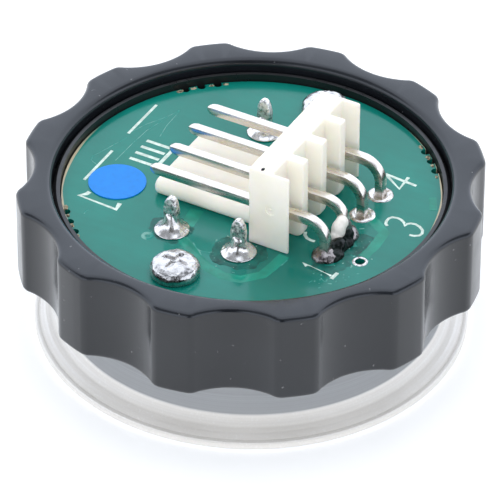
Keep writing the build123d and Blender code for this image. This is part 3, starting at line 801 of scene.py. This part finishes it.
class PUSHBUTTON_OT_finishes(bpy.types.Operator):
    """Make the finishes and put them on the CAD pieces whose shape stays"""

    bl_idname = "push_button.finishes"
    bl_label = "Finishes"

    def execute(self, context):
        """Make every finish once."""
        colours = context.scene.button_colours
        nut_plastic(colours)
        moulded("housing plastic", tuple(colours.housing), 0.32)
        moulded("connector plastic", tuple(colours.connector), 0.42, 0.012, 0.05, inside=0.45)
        moulded("switch plastic", (0.02, 0.02, 0.022), 0.45)
        moulded("stem plastic", (0.035, 0.035, 0.037), 0.4)
        moulded("diode plastic", (0.03, 0.03, 0.032), 0.5)
        moulded("chip coat", (0.02, 0.022, 0.026), 0.35)
        moulded("lamp plastic", (0.80, 0.80, 0.74), 0.35, 0.008, 0.04)
        moulded("clear carrier", (0.76, 0.77, 0.76), 0.4, 0.01, 0.05)
        ring = Finish("light ring plastic", rough=0.36, inside=0.35, inside_scale=0.8 * MM)
        pale = ring.mottled(420, 3, tinted(colours.light_ring, 0.94), tinted(colours.light_ring, 1.05))
        ring.wire(pale, "Base Color")
        ring.relief(3800, 2, 0.008, 0.4)
        paper = Finish("sticker paper", rough=0.55)
        blue = paper.mottled(2600, 4, tinted(colours.sticker, 0.93), tinted(colours.sticker, 1.07))
        paper.wire(blue, "Base Color")
        paper.relief(3600, 3, 0.01, 0.4)
        rough_steel("bezel steel", tuple(colours.steel), 0.68)
        cap_steel("cap steel", tuple(colours.steel), 0.24)
        bright_metal("solder metal", tuple(colours.solder), 0.19, lump=0.010, lump_scale=600,
                     grime_and_painted_dark=0.2, grime_and_painted_dark_colour=(0.25, 0.19, 0.14), metal=0.9)
        # Painted reflection: the near-black patches on the leads stand for the dark side and dark reflections
        # seen on the blades.
        bright_metal("lead metal", tinted(colours.solder, 1.1), 0.32, lump=0.06, lump_scale=5200,
                     grime_and_painted_dark=0.97, grime_and_painted_dark_colour=(0.03, 0.026, 0.026), grime_and_painted_dark_scale=4200)
        drawn_wire("pin metal", tuple(colours.pins), 0.26)
        bright_metal("screw metal", tinted(colours.solder, 0.8), 0.22, lump=0.05, lump_scale=1300,
                     grime_and_painted_dark=0.5, grime_and_painted_dark_colour=(0.10, 0.10, 0.11), grime_and_painted_dark_scale=2300)
        bright_metal("sheet metal", (0.66, 0.66, 0.66), 0.3, lump=0.004, lump_scale=800)
        bright_metal("spring wire", (0.56, 0.56, 0.57), 0.25, lump=0.003, lump_scale=2500)
        clear_flux("burnt flux", (0.006, 0.011, 0.010))
        # Painted highlight: the drop's solder is white with hardly any metal, its shine painted into its
        # colour.
        bright_metal("solder with painted shine", (1.0, 1.0, 0.99), 0.34, lump=0.004, lump_scale=700, metal=0.05)
        bright_metal("stained solder", (0.30, 0.27, 0.26), 0.22, lump=0.06, lump_scale=2200,
                     grime_and_painted_dark=0.95, grime_and_painted_dark_colour=(0.045, 0.035, 0.035), grime_and_painted_dark_scale=1600)
        bright_metal("pad solder", tuple(colours.solder), 0.24, lump=0.04, lump_scale=1700,
                     grime_and_painted_dark=0.95, grime_and_painted_dark_colour=(0.24, 0.18, 0.12), grime_and_painted_dark_scale=1500)
        scratched_lacquer(colours)
        torn_laminate(colours)
        flux_film(colours)
        board_lacquer(colours)
        lacquered_track(colours)
        printed(colours)
        for finish, nodes in (
                ("board lacquer", ["circuit_board"]), ("housing plastic", ["housing"]),
                ("switch plastic", ["switch_base"]), ("stem plastic", ["switch_stem"]),
                ("sheet metal", ["switch_cover"]), ("clear carrier", ["plunger"]),
                ("diode plastic", ["diode"]), ("chip coat", ["resistor_1", "resistor_2"]),
                ("lamp plastic", [f"led_{k}" for k in range(1, 5)]),
                ("solder metal", [f"pin_solder_{k}" for k in range(1, 5)]), ("sticker paper", ["sticker"])):
            refinish(nodes, finish)
        return {"FINISHED"}


class PUSHBUTTON_OT_ring_nut(bpy.types.Operator):
    """Build the lobed ring nut"""

    bl_idname = "push_button.ring_nut"
    bl_label = "Ring nut"

    def execute(self, context):
        """Turn the blank, cut the scallops and round the edges."""
        nut, _, _ = sizes(context)
        blank = cylinder("lobed_nut", nut.radius, NUT_BOTTOM, NUT_TOP, 360)
        reach = nut.radius - nut.scallop_depth + nut.scallop_radius
        cutters = []
        for lobe in range(nut.lobes):
            angle = nut.phase + (lobe + 0.5) * FULL_TURN / nut.lobes
            place = (reach * math.cos(angle), reach * math.sin(angle))
            cutters.append(cylinder("scallop", nut.scallop_radius, NUT_BOTTOM - MM, NUT_TOP + MM, 160, place))
        for cutter in cutters:
            cut(blank, cutter)
        self.round_corners(blank, nut, reach)
        apply_modifier(blank, "BEVEL", width=nut.edge_round, segments=5, limit_method="ANGLE",
                       angle_limit=math.radians(40), use_clamp_overlap=False)
        near = 0.001 * MM
        choose(blank, lambda centre, normal: abs(normal.z) > 0.999)
        bpy.ops.mesh.delete(type="ONLY_FACE")
        object_mode()
        blank = join("lobed_nut", [blank, self.bore(nut)])
        for level in (NUT_BOTTOM, NUT_TOP):
            choose(blank, lambda a, b: abs(a.z - level) < near and abs(b.z - level) < near, "EDGE")
            bpy.ops.mesh.fill(use_beauty=True)
            object_mode()
        recalculate(blank)
        smooth(blank, 30)
        apply_modifier(blank, "WEIGHTED_NORMAL", keep_sharp=True, weight=80)
        dressed(blank, "nut", "nut_plastic", "nut plastic", "ring_nut")
        return {"FINISHED"}

    def bore(self, nut):
        """Open tube of the bore with its rounded mouth, from the lower face to the upper."""
        radius, bottom, top = nut.bore / MM, NUT_BOTTOM / MM, NUT_TOP / MM
        mouth = nut.mouth_round / MM
        profile = [(radius + 0.15, bottom), (radius, bottom + 0.15)]
        steps = 6
        for k in range(steps + 1):
            turn = math.pi / 2 * k / steps
            profile.append((radius + mouth * (1 - math.cos(turn)), top - mouth * (1 - math.sin(turn))))
        return turned("bore", profile, 360, ends="open")

    def round_corners(self, blank, nut, reach):
        """Clear the short faces beside the upright edges of the lobes, then round those edges."""
        share = (nut.radius ** 2 + reach ** 2 - nut.scallop_radius ** 2) / (2 * nut.radius * reach)
        spread = math.acos(share)
        corners = []
        for lobe in range(nut.lobes):
            for side in (-spread, spread):
                angle = nut.phase + (lobe + 0.5) * FULL_TURN / nut.lobes + side
                corners.append(Vector((nut.radius * math.cos(angle), nut.radius * math.sin(angle))))

        def from_corner(a, b):
            """Distance of an upright edge from the nearest corner; a slanting edge is far from all."""
            if (a - b).xy.length > 0.01 * MM:
                return MM
            return min((a.xy - corner).length for corner in corners)
        at_corner = 0.06 * MM
        edit_all(blank, bpy.ops.mesh.remove_doubles, threshold=at_corner)
        choose(blank, lambda a, b: at_corner < from_corner(a, b) < nut.corner_round + 0.15 * MM, "EDGE")
        bpy.ops.mesh.dissolve_edges(use_verts=True)
        object_mode()
        round_edges(blank, lambda a, b: from_corner(a, b) < at_corner, nut.corner_round, 5)


class PUSHBUTTON_OT_bezel(bpy.types.Operator):
    """Build the turned steel bezel"""

    bl_idname = "push_button.bezel"
    bl_label = "Bezel"

    def execute(self, context):
        """Turn the flange, the neck and the lip in one piece."""
        profile = [(11.0, 0.0), (14.40, 0.0), (14.55, 0.15), (14.55, 0.50), (14.47, 0.60), (14.30, 0.64),
                   (14.24, 0.62), (13.62, 1.02), (13.52, 1.04), (13.40, 1.12), (12.97, 1.55), (12.9, 1.70),
                   (12.9, 6.32), (12.3, 6.32), (12.3, 1.0), (11.0, 1.0)]
        ring = turned("turned_bezel", profile, 256)
        bevel(ring, 0.05 * MM, 2, 40)
        smooth(ring, 24)
        dressed(ring, "base", "bezel_metal", "bezel steel", "bezel")
        return {"FINISHED"}


class PUSHBUTTON_OT_pressel(bpy.types.Operator):
    """Build the pressed cap and the light ring round it"""

    bl_idname = "push_button.pressel"
    bl_label = "Cap and light ring"

    def execute(self, context):
        """Turn the cap and the ring."""
        cap = turned("pressed_cap", [(1.0, 0.42), (4.5, 0.36), (8.9, 0.30), (9.15, 0.33), (9.33, 0.42),
                                     (9.4, 0.6), (9.4, 1.8), (8.85, 1.8), (8.85, 0.9), (1.0, 0.9)], 192,
                     ends="capped")
        bevel(cap, 0.04 * MM, 2, 50)
        smooth(cap, 30)
        dressed(cap, "button", "cap_metal", "cap steel", "button_cap")
        ring = turned("moulded_light_ring", [(9.6, 0.2), (9.65, 0.15), (10.85, 0.15), (10.9, 0.2),
                                             (10.9, 1.0), (12.2, 1.0), (12.2, 1.9), (9.6, 1.9)], 192)
        bevel(ring, 0.04 * MM, 2, 50)
        smooth(ring, 30)
        dressed(ring, "base", "light_plastic", "light ring plastic", "light_ring")
        return {"FINISHED"}


class PUSHBUTTON_OT_connector(bpy.types.Operator):
    """Build the connector's housing and its square pins"""

    bl_idname = "push_button.connector"
    bl_label = "Connector"

    def execute(self, context):
        """Housing with slots and locking wall, then the pins."""
        _, connector, _ = sizes(context)
        low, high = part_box("header_housing")
        front = high.y
        plate_front = low.y + PLATE_DEPTH
        body = box("moulded_header", (low.x, low.y, low.z), (high.x, plate_front, high.z))
        slot_half = (PIN_PITCH - connector.rib) / 2
        for x in PIN_PLACES:
            slot = box("slot", (x - slot_half, low.y - MM, low.z - MM),
                       (x + slot_half, plate_front - connector.plate, high.z + MM))
            cut(body, slot)
        inner = high.x - 1.5 * connector.rib
        near = 0.01 * MM
        round_edges(body, lambda a, b: all(abs(p.y - low.y) < near and abs(p.z - low.z) < near
                                           and abs(p.x) < inner for p in (a, b)), connector.foot_round, 6)
        wall = box("wall", (low.x + connector.wall_inset, plate_front - MM, low.z),
                   (high.x - connector.wall_inset, front, low.z + connector.wall_height))
        round_edges(wall, lambda a, b: abs(a.y - b.y) > MM, connector.wall_height * 0.49, 6)
        round_edges(wall, lambda a, b: min(a.y, b.y) > front - near, 0.3 * MM, 4)
        bevel(body, connector.edge_round, 3, 50)
        body = fuse("moulded_header", [body, wall])
        gate = cylinder("gate", GATE_RADIUS, low.x - MM, low.x + GATE_DEPTH, 48)
        gate.data.transform(Matrix.Rotation(math.pi / 2, 4, "Y"))
        gate_level = low.z + GATE_RISE
        centre_y = (low.y + plate_front) / 2 - 0.15 * MM
        move(gate, 0, centre_y, gate_level)
        cut(body, gate)
        stub = ball("gate stub", (low.x + 0.07 * MM, centre_y, gate_level), (0.05, 0.15, 0.13))
        body = fuse("moulded_header", [body, stub])
        smooth(body, 30)
        dressed(body, "base", "header_plastic", "connector plastic", "header_housing")
        speck = ball("soot_speck", (*SOOT_PLACE, high.z - 0.02 * MM), (0.20, 0.13, 0.045))
        grain(speck, 0.08 * MM, 0.05 * MM, 0.051)
        dressed(speck, "base", "header_plastic", "burnt flux")
        self.pins(connector)
        return {"FINISHED"}

    def pins(self, connector):
        """One bent pin, then its copies."""
        half = connector.pin_width / 2
        low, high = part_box("header_pin_1")
        level = BOARD_TOP + connector.pin_level
        tip = high.y
        leg = low.y + half
        bend = connector.bend_radius
        x = PIN_PLACES[0]
        run = box("square_pin_1", (x - half, leg + bend, level - half),
                  (x + half, tip - connector.taper, level + half))
        choose(run, lambda centre, normal: normal.y > 0.9)
        for share, across in ((0.55, 0.86), (0.45, 0.55)):
            draw_out((0, connector.taper * share, 0), (across, 1, across), (x, tip, level))
        object_mode()
        choose(run, lambda centre, normal: normal.y < -0.9)
        bpy.ops.mesh.spin(steps=12, angle=-math.pi / 2, center=(x, leg + bend, level - bend), axis=(1, 0, 0))
        object_mode()
        lowest = min(vertex.co.z for vertex in run.data.vertices)
        choose(run, lambda centre, normal: normal.z < -0.9 and centre.z < lowest + 0.05 * MM)
        draw_out((0, 0, low.z - lowest))
        object_mode()
        recalculate(run)
        bevel(run, 0.045 * MM, 2, 40)
        smooth(run, 40)
        pins = [run]
        for k, place in enumerate(PIN_PLACES[1:], 2):
            pins.append(copy_of(run, f"square_pin_{k}", Matrix.Translation((place - x, 0, 0))))
        for k, pin in enumerate(pins, 1):
            dressed(pin, "base", "pin_metal", "pin metal", f"header_pin_{k}")


class PUSHBUTTON_OT_soldered_leads(bpy.types.Operator):
    """Build the switch's pointed leads in their solder cones"""

    bl_idname = "push_button.soldered_leads"
    bl_label = "Soldered leads"

    def execute(self, context):
        """A cone with a hollow flank and a blunt blade of a lead, each grained."""
        _, _, solder = sizes(context)
        top = BOARD_TOP / MM
        for k in range(1, 5):
            low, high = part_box(f"switch_solder_{k}")
            place = ((low.x + high.x) / 2, (low.y + high.y) / 2)
            radius = solder.fillet_radius / MM
            rise = solder.fillet_height / MM
            flank = [(radius * share, top + rise * up) for share, up in
                     ((1.0, 0.0), (0.985, 0.07), (0.86, 0.16), (0.70, 0.28), (0.56, 0.45), (0.45, 0.68),
                      (0.38, 1.0), (0.30, 1.3))]
            cone = turned(f"solder_cone_{k}", flank + [(0.05, flank[-1][1] + 0.03)], 64, ends="capped")
            move(cone, *place)
            apply_modifier(cone, "SUBSURF", levels=1, render_levels=1)
            grain(cone, 0.6 * MM, 0.10 * MM, 0.013 * k)
            smooth(cone, 80)
            dressed(cone, "base", "solder", "solder metal", f"switch_solder_{k}")
            self.lead(k, place, solder)
        return {"FINISHED"}

    def lead(self, k, place, solder):
        """Blade of sheet metal with a blunt point."""
        x, y = place
        half = solder.lead_width / 2
        thick = LEAD_HALF_THICKNESS
        tip = BOARD_TOP + solder.lead_height
        shoulder = tip - LEAD_POINT
        blade = box(f"pointed_lead_{k}", (x - thick, y - half, BOARD_TOP + 0.05 * MM),
                    (x + thick, y + half, shoulder))
        choose(blade, lambda centre, normal: normal.z > 0.9)
        for rise, across in ((0.5, 0.84), (0.32, 0.70), (0.18, 0.5)):
            draw_out((0, 0, rise * MM), (0.92, across, 1), (x, y, tip))
        object_mode()
        bevel(blade, 0.12 * MM, 2, 40)
        edit_all(blade, bpy.ops.mesh.subdivide, number_cuts=3)
        grain(blade, 0.45 * MM, 0.10 * MM, 0.021 * k)
        smooth(blade, 80)
        dressed(blade, "base", "lead_metal", "lead metal", f"switch_lead_{k}")


class PUSHBUTTON_OT_board_screws(bpy.types.Operator):
    """Build the board screws with worn cross recesses"""

    bl_idname = "push_button.board_screws"
    bl_label = "Board screws"

    def execute(self, context):
        """Domed heads with a cross cut into them."""
        _, _, solder = sizes(context)
        top = BOARD_TOP / MM
        radius = solder.head_radius / MM
        rise = solder.head_height / MM
        arm_length, arm_half, arm_depth = 0.9 * MM, 0.16 * MM, 0.3
        for k in (1, 2):
            low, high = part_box(f"board_screw_{k}")
            centre = ((low.x + high.x) / 2, (low.y + high.y) / 2)
            shares = ((0.05, 1.0), (0.45, 0.97), (0.72, 0.88), (0.9, 0.72), (0.985, 0.5), (1.0, 0.36),
                      (0.98, 0.1), (0.93, 0.0))
            profile = [(radius * across, top + rise * up) for across, up in shares]
            profile += [(0.8, top), (0.8, low.z / MM + 0.8), (0.05, low.z / MM)]
            head = turned(f"pan_head_screw_{k}", profile, 96, ends="capped")
            move(head, *centre)
            turn = math.radians(35 + 50 * k)
            for arm in (0, 1):
                slot = box("slot", (-arm_length, -arm_half, BOARD_TOP + (rise - arm_depth) * MM),
                           (arm_length, arm_half, BOARD_TOP + (rise + 0.5) * MM))
                slot.data.transform(Matrix.Translation((centre[0], centre[1], 0))
                                    @ Matrix.Rotation(turn + arm * math.pi / 2, 4, "Z"))
                cut(head, slot)
            soften(head, 0.055 * MM, 7)
            grain(head, 0.6 * MM, 0.12 * MM, 0.023 * k)
            smooth(head, 80)
            dressed(head, "base", "screw_metal", "screw metal", f"board_screw_{k}")
        return {"FINISHED"}


class PUSHBUTTON_OT_solder_bridge(bpy.types.Operator):
    """Build the solder bridge over the first two pins and the pads of the others"""

    bl_idname = "push_button.solder_bridge"
    bl_label = "Solder bridge and pads"

    def execute(self, context):
        """Solder round both pins, burnt flux between them and one bright drop."""
        _, _, solder = sizes(context)
        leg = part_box("header_pin_1")[0].y / MM + PIN_HALF
        first, second = PIN_PLACES[0] / MM, PIN_PLACES[1] / MM
        stained = self.mass("stained_solder", [
            ((first, leg, 0.0), (0.95, 0.95, 0.55)),
            ((first, leg, 0.35), (0.50, 0.50, 0.30)),
            ((second, leg, 0.0), (1.0, 1.0, 0.7)),
            ((second - 0.1, leg, 0.7), (0.55, 0.55, 0.9)),
        ], 0.12)
        dressed(stained, "base", "bridge_solder", "stained solder", "solder_bridge")
        flux = self.mass("burnt_flux", [
            ((first + 0.25, leg - 0.50, 0.0), (0.80, 0.62, 0.42)),
            ((first + 0.55, leg + 0.0, 0.15), (0.62, 0.55, 0.62)),
            ((first + 1.15, leg - 0.30, 0.1), (0.85, 0.60, 0.62)),
            ((first + 1.80, leg - 0.55, 0.0), (0.90, 0.50, 0.42)),
            ((first + 2.30, leg - 0.40, 0.3), (0.50, 0.42, 0.62)),
        ], 0.14)
        dressed(flux, "base", "bridge_solder", "burnt flux")
        # Painted highlight: the drop is finished white, standing for its shine.
        drop = self.mass("bright_drop", [
            ((second - 0.70, leg + 0.04, 0.92), (0.48, 0.48, 0.76)),
            ((second - 0.94, leg + 0.08, 0.50), (0.40, 0.42, 0.56)),
            ((second - 0.44, leg - 0.06, 1.36), (0.42, 0.44, 0.52)),
        ], 0.02)
        dressed(drop, "base", "bridge_solder", "solder with painted shine")
        for k in (3, 4):
            self.pad(k, PIN_PLACES[k - 1], leg * MM, solder.pad_radius / MM)
        return {"FINISHED"}

    def mass(self, name, lumps, roughness):
        """Lumps given as (place, radii) in mm above the board, melted into one and cut off at the board."""
        parts = [ball(name, (x * MM, y * MM, BOARD_TOP + z * MM), radii, 4) for (x, y, z), radii in lumps]
        melted = join(name, parts)
        soften(melted, 0.06 * MM, 8)
        grain(melted, 0.5 * MM, roughness * MM, 0.003 * len(name))
        below = box("below the board", (-20 * MM, -20 * MM, BOARD_TOP - 5 * MM),
                    (20 * MM, 20 * MM, BOARD_TOP - 0.02 * MM))
        cut(melted, below)
        smooth(melted, 80)
        return melted

    def pad(self, k, x, leg, radius):
        """Tinned ring with a sunken fill of solder round the pin."""
        profile = [(0.30, -0.12), (0.42, -0.02), (0.52, 0.05), (0.64, 0.10), (radius - 0.08, 0.09),
                   (radius, 0.0), (radius - 0.1, -0.02), (0.32, -0.2)]
        ring = turned(f"ring_pad_{k}", profile, 64)
        move(ring, x, leg, BOARD_TOP)
        grain(ring, 0.4 * MM, 0.07 * MM, 0.017 * k)
        smooth(ring, 60)
        dressed(ring, "base", "solder", "pad solder")


class PUSHBUTTON_OT_board_marks(bpy.types.Operator):
    """Build the print, tracks, scratches, dried flux and torn laminate on the board"""

    bl_idname = "push_button.board_marks"
    bl_label = "Board marks"

    def execute(self, context):
        """Strokes of print, tracks, scratches and flecks, then rings, torn laminate and flux film."""
        self.lines("printed_marks", PRINT_LINES, PRINT_HEIGHT, "white print")
        self.lines("raised_tracks", TRACK_LINES, TRACK_HEIGHT, "lacquered track")
        self.lines("scratches", SCRATCH_LINES, SCRATCH_HEIGHT, "scratched lacquer")
        self.lines("residue_flecks", self.flecks(), SCRATCH_HEIGHT, "scratched lacquer")
        self.via_ring()
        self.torn_laminate()
        self.flux_film()
        return {"FINISHED"}

    def lines(self, name, table, height, finish):
        """All the strokes of one kind in one piece."""
        strokes = [stroke(name, points, width, height, BOARD_TOP) for width, points in table]
        dressed(join(name, strokes), "base", "board", finish)

    def flecks(self):
        """Short strokes of dried flux scattered in rings round the hand-soldered places."""
        strokes = []
        for x, y, nearest, furthest, count in FLECK_RINGS:
            for _ in range(count):
                turn = random.uniform(0, FULL_TURN)
                reach = random.uniform(nearest, furthest)
                start = (x + reach * math.cos(turn), y + reach * math.sin(turn))
                lean = random.uniform(0, FULL_TURN)
                size = random.uniform(0.04, 0.20)
                end = (start[0] + size * math.cos(lean), start[1] + size * math.sin(lean))
                strokes.append((random.uniform(0.04, 0.09), [start, end]))
        return strokes

    def via_ring(self):
        """Tinned ring round the open via and a lacquered one over the closed via."""
        open_ring = turned("via_ring", [(0.32, 0.0), (0.34, 0.04), (0.46, 0.05), (0.52, 0.0)], 48)
        grain(open_ring, 0.3 * MM, 0.03 * MM, 0.009)
        move(open_ring, VIA_PLACE[0] * MM, VIA_PLACE[1] * MM, BOARD_TOP)
        smooth(open_ring, 60)
        # The lead finish puts its painted dark reflections on this ring too.
        dressed(open_ring, "base", "solder", "lead metal")
        tented = turned("tented_via", [(0.16, 0.0), (0.2, 0.04), (0.34, 0.05), (0.42, 0.0)], 48)
        move(tented, TENTED_PLACE[0] * MM, TENTED_PLACE[1] * MM, BOARD_TOP)
        grain(tented, 0.3 * MM, 0.05 * MM, 0.031)
        smooth(tented, 60)
        dressed(tented, "base", "board", "scratched lacquer")

    def flux_film(self):
        """Thin uneven film of flux round the front leads and the bridge."""
        films = []
        for k, (x, y, reach) in enumerate(FLUX_PLACES, 1):
            film = turned(f"flux_{k}", [(0.3, 0.0), (0.32, 0.008), (reach * 0.7, 0.010), (reach, 0.006),
                                        (reach + 0.04, 0.0)], 96)
            move(film, x * MM, y * MM, BOARD_TOP)
            for axis, size in (("X", 1.3), ("Y", 0.9)):
                texture = bpy.data.textures.new(f"flux {k} {axis}", "CLOUDS")
                texture.noise_scale = size * MM
                apply_modifier(film, "DISPLACE", texture=texture, strength=1.1 * MM, mid_level=0.5,
                               texture_coords="LOCAL", direction=axis)
            films.append(film)
        films = join("flux_film", films)
        smooth(films, 60)
        dressed(films, "base", "board", "flux film")

    def torn_laminate(self):
        """Rough crumbs of laminate left at the break-off holes."""
        crumbs = []
        reach = BOARD_RADIUS / MM - 0.22
        for tab in range(4):
            for step in (-1.5, -0.5, 0.5, 1.5):
                angle = math.radians(FIRST_TAB + TAB_STEP * tab + BREAK_OFF_STEP * step
                                     + random.uniform(-0.6, 0.6))
                place = (reach * MM * math.cos(angle), reach * MM * math.sin(angle), BOARD_TOP)
                crumb = ball("crumb", place, (0.6, 1.1, 0.25), radius=random.uniform(0.15, 0.24) * MM,
                             turn=angle)
                grain(crumb, 0.10 * MM, 0.14 * MM, 0.011 * (len(crumbs) + 1))
                crumbs.append(crumb)
        crumbs = join("torn_laminate", crumbs)
        smooth(crumbs, 40)
        dressed(crumbs, "base", "board", "torn laminate")


class PUSHBUTTON_OT_springs(bpy.types.Operator):
    """Build the return spring and the snap dome"""

    bl_idname = "push_button.springs"
    bl_label = "Spring and dome"

    def execute(self, context):
        """Wind the spring and turn the dome."""
        low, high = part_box("return_spring")
        wire = SPRING_WIRE
        coil = (high.x - low.x) / 2 - wire
        turns = 4
        steps = 48
        count = turns * steps + 1
        rise = high.z - low.z - 2 * wire
        points = []
        for k in range(count):
            angle = FULL_TURN * k / steps
            level = low.z + wire + rise * k / (count - 1)
            points.append((coil * math.cos(angle), coil * math.sin(angle), level))
        spring = wire_along("wound_spring", "NURBS", points, wire, 4)
        smooth(spring, 60)
        dressed(spring, "base", "spring_wire", "spring wire", "return_spring")
        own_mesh(spring)
        low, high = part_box("switch_dome")
        radius = (high.x - low.x) / 2 / MM
        crown = (high.z - low.z) / MM
        profile = []
        for k in range(9):
            share = max(0.02, k / 8)
            profile.append((radius * share, low.z / MM + crown * share ** 2))
        profile += [(r - 0.1 if r > 0.2 else r, z + 0.1) for r, z in reversed(profile[:-1])]
        dome = turned("snap_dome", profile, 96, ends="capped")
        smooth(dome, 60)
        dressed(dome, "base", "dome_metal", "sheet metal", "switch_dome")
        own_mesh(dome)
        return {"FINISHED"}


class PUSHBUTTON_OT_studio(bpy.types.Operator):
    """Build the floor, the light and the camera"""

    bl_idname = "push_button.studio"
    bl_label = "Studio"

    def execute(self, context):
        """Pale floor, surroundings, two lamps and the camera."""
        clear_selection()
        bpy.ops.mesh.primitive_plane_add(size=1.6, location=(0, 0, -0.02 * MM))
        floor = settle("floor")
        finish = Finish("pale floor", rough=0.6, specular=0.2)
        finish.wire(finish.mottled(900, 2, (0.955, 0.96, 0.965), (0.965, 0.97, 0.975)), "Base Color")
        tree = finish.tree
        seen, mirrored = self.rays(tree)
        glow = calculate(tree, "MAXIMUM", calculate(tree, "MULTIPLY", mirrored, FLOOR_MIRRORED),
                         calculate(tree, "MULTIPLY", seen, FLOOR_SEEN))
        finish.shader.inputs["Emission Color"].default_value = (0.88, 1.0, 1.2, 1)
        tree.links.new(glow, finish.shader.inputs["Emission Strength"])
        floor.data.materials.append(finish.material)
        self.world(context)
        for name, place, power, size in LAMPS:
            self.lamp(name, Vector(place), power, size)
        self.camera(context)
        return {"FINISHED"}

    def world(self, context):
        """White for the camera; mirrored it is brighter, with a dark gap at the camera and a dim band."""
        world = bpy.data.worlds.new("white tent")
        context.scene.world = world
        world.use_nodes = True
        tree = world.node_tree
        tree.nodes.clear()
        place = tree.nodes.new("ShaderNodeTexCoord").outputs["Generated"]
        aside = measure(tree, "DOT_PRODUCT", place, (math.cos(CAMERA_TURN), math.sin(CAMERA_TURN), 0))
        towards = measure(tree, "DOT_PRODUCT", place, (math.sin(CAMERA_TURN), -math.cos(CAMERA_TURN), 0))
        up = measure(tree, "DOT_PRODUCT", place, (0, 0, 1))
        narrow = self.between(tree, aside, *GAP_ASIDE)
        tall = self.between(tree, up, *GAP_UP)
        near_side = self.between(tree, towards, *GAP_TOWARDS)
        gap = calculate(tree, "MULTIPLY", calculate(tree, "MULTIPLY", narrow, tall), near_side)
        band = calculate(tree, "MULTIPLY", self.between(tree, up, *BAND_UP),
                         self.between(tree, towards, *BAND_TOWARDS))
        dark = calculate(tree, "MAXIMUM", gap, calculate(tree, "MULTIPLY", band, BAND_SHARE))
        level = spread(tree, dark, GLOSSY_LEVEL, GAP_LEVEL, 0, 1)
        seen, mirrored = self.rays(tree)
        light = self.either(tree, mirrored, self.background(tree, (1.0, 0.99, 0.97)),
                            self.background(tree, (0.95, 1.04, 1.20), level))
        light = self.either(tree, seen, light, self.background(tree, (1, 1, 1)))
        new_node(tree, "ShaderNodeOutputWorld", Surface=light)

    def rays(self, tree):
        """Masks of the rays from the camera and of those that a surface mirrors or lets through."""
        path = tree.nodes.new("ShaderNodeLightPath").outputs
        return path["Is Camera Ray"], calculate(tree, "MAXIMUM", path["Is Glossy Ray"],
                                                path["Is Transmission Ray"])

    def background(self, tree, colour, strength=1.0):
        """Light of one tint from all round, of one strength or as strong as a pattern says."""
        return new_node(tree, "ShaderNodeBackground", Color=(*colour, 1), Strength=strength).outputs[0]

    def either(self, tree, share, first, second):
        """The first light where the share is zero, the second where it is one."""
        made = tree.nodes.new("ShaderNodeMixShader")
        for socket, value in zip(made.inputs, (share, first, second)):
            feed(tree, socket, value)
        return made.outputs[0]

    def between(self, tree, value, low, high, soft):
        """One inside low..high and zero outside, with soft borders."""
        sides = [spread(tree, value, outer, 1.0 - outer, edge - soft, edge + soft,
                        interpolation_type="SMOOTHSTEP") for edge, outer in ((low, 0.0), (high, 1.0))]
        return calculate(tree, "MULTIPLY", *sides)

    def lamp(self, name, place, power, size):
        """Square soft lamp that faces the button and isn't mirrored in it."""
        clear_selection()
        bpy.ops.object.light_add(type="AREA", location=place)
        lamp = bpy.context.object
        lamp.name = name
        lamp.data.energy = power
        lamp.data.size = size
        lamp.rotation_euler = (-place).to_track_quat("-Z", "Y").to_euler()
        lamp.visible_glossy = False
        lamp.visible_camera = False

    def camera(self, context):
        """Long lens at the photograph's angle."""
        clear_selection()
        target = Vector((0, 0, NUT_TOP))
        place = target + Vector(CAMERA_SIDE).normalized() * CAMERA_DISTANCE
        aim = target + Vector(CAMERA_AIM)
        bpy.ops.object.camera_add(location=place)
        camera = bpy.context.object
        camera.name = "camera"
        camera.data.sensor_width = 36
        camera.data.lens = CAMERA_LENS
        camera.data.clip_start = 0.01
        camera.data.clip_end = 10
        look = (aim - place).to_track_quat("-Z", "Y").to_matrix().to_4x4()
        roll = Matrix.Rotation(CAMERA_ROLL, 4, "Z")
        camera.matrix_world = Matrix.Translation(place) @ look @ roll
        context.scene.camera = camera
        context.scene.view_settings.view_transform = "Standard"


OPERATORS = (
    PUSHBUTTON_OT_finishes, PUSHBUTTON_OT_ring_nut, PUSHBUTTON_OT_bezel, PUSHBUTTON_OT_pressel,
    PUSHBUTTON_OT_connector, PUSHBUTTON_OT_soldered_leads, PUSHBUTTON_OT_board_screws,
    PUSHBUTTON_OT_solder_bridge, PUSHBUTTON_OT_board_marks, PUSHBUTTON_OT_springs, PUSHBUTTON_OT_studio,
)
GROUPS = (NutSizes, ConnectorSizes, SolderSizes, Colours)


class PUSHBUTTON_PT_panel(bpy.types.Panel):
    """The button's sizes, colours and operators in the 3D view's sidebar"""

    bl_idname = "PUSHBUTTON_PT_panel"
    bl_label = "Push Button"
    bl_space_type = "VIEW_3D"
    bl_region_type = "UI"
    bl_category = "Push Button"

    def draw(self, context):
        """List every size group, the colours and the operators."""
        scene = context.scene
        for group in (scene.nut_sizes, scene.connector_sizes, scene.solder_sizes, scene.button_colours):
            column = self.layout.box().column()
            for name in group.bl_rna.properties.keys():
                if name not in ("rna_type", "name"):
                    column.prop(group, name)
        for operator in OPERATORS:
            self.layout.operator(operator.bl_idname)


def register():
    """Register every class and hang the groups on the scene."""
    for kind in GROUPS + OPERATORS + (PUSHBUTTON_PT_panel,):
        bpy.utils.register_class(kind)
    bpy.types.Scene.nut_sizes = PointerProperty(type=NutSizes)
    bpy.types.Scene.connector_sizes = PointerProperty(type=ConnectorSizes)
    bpy.types.Scene.solder_sizes = PointerProperty(type=SolderSizes)
    bpy.types.Scene.button_colours = PointerProperty(type=Colours)


def unregister():
    """Undo register."""
    for name in ("nut_sizes", "connector_sizes", "solder_sizes", "button_colours"):
        delattr(bpy.types.Scene, name)
    for kind in reversed(GROUPS + OPERATORS + (PUSHBUTTON_PT_panel,)):
        bpy.utils.unregister_class(kind)


def main():
    """Build everything in order."""
    random.seed(7)
    register()
    for operator in OPERATORS:
        group, name = operator.bl_idname.split(".")
        getattr(getattr(bpy.ops, group), name)()


if __name__ == "__main__":
    main()
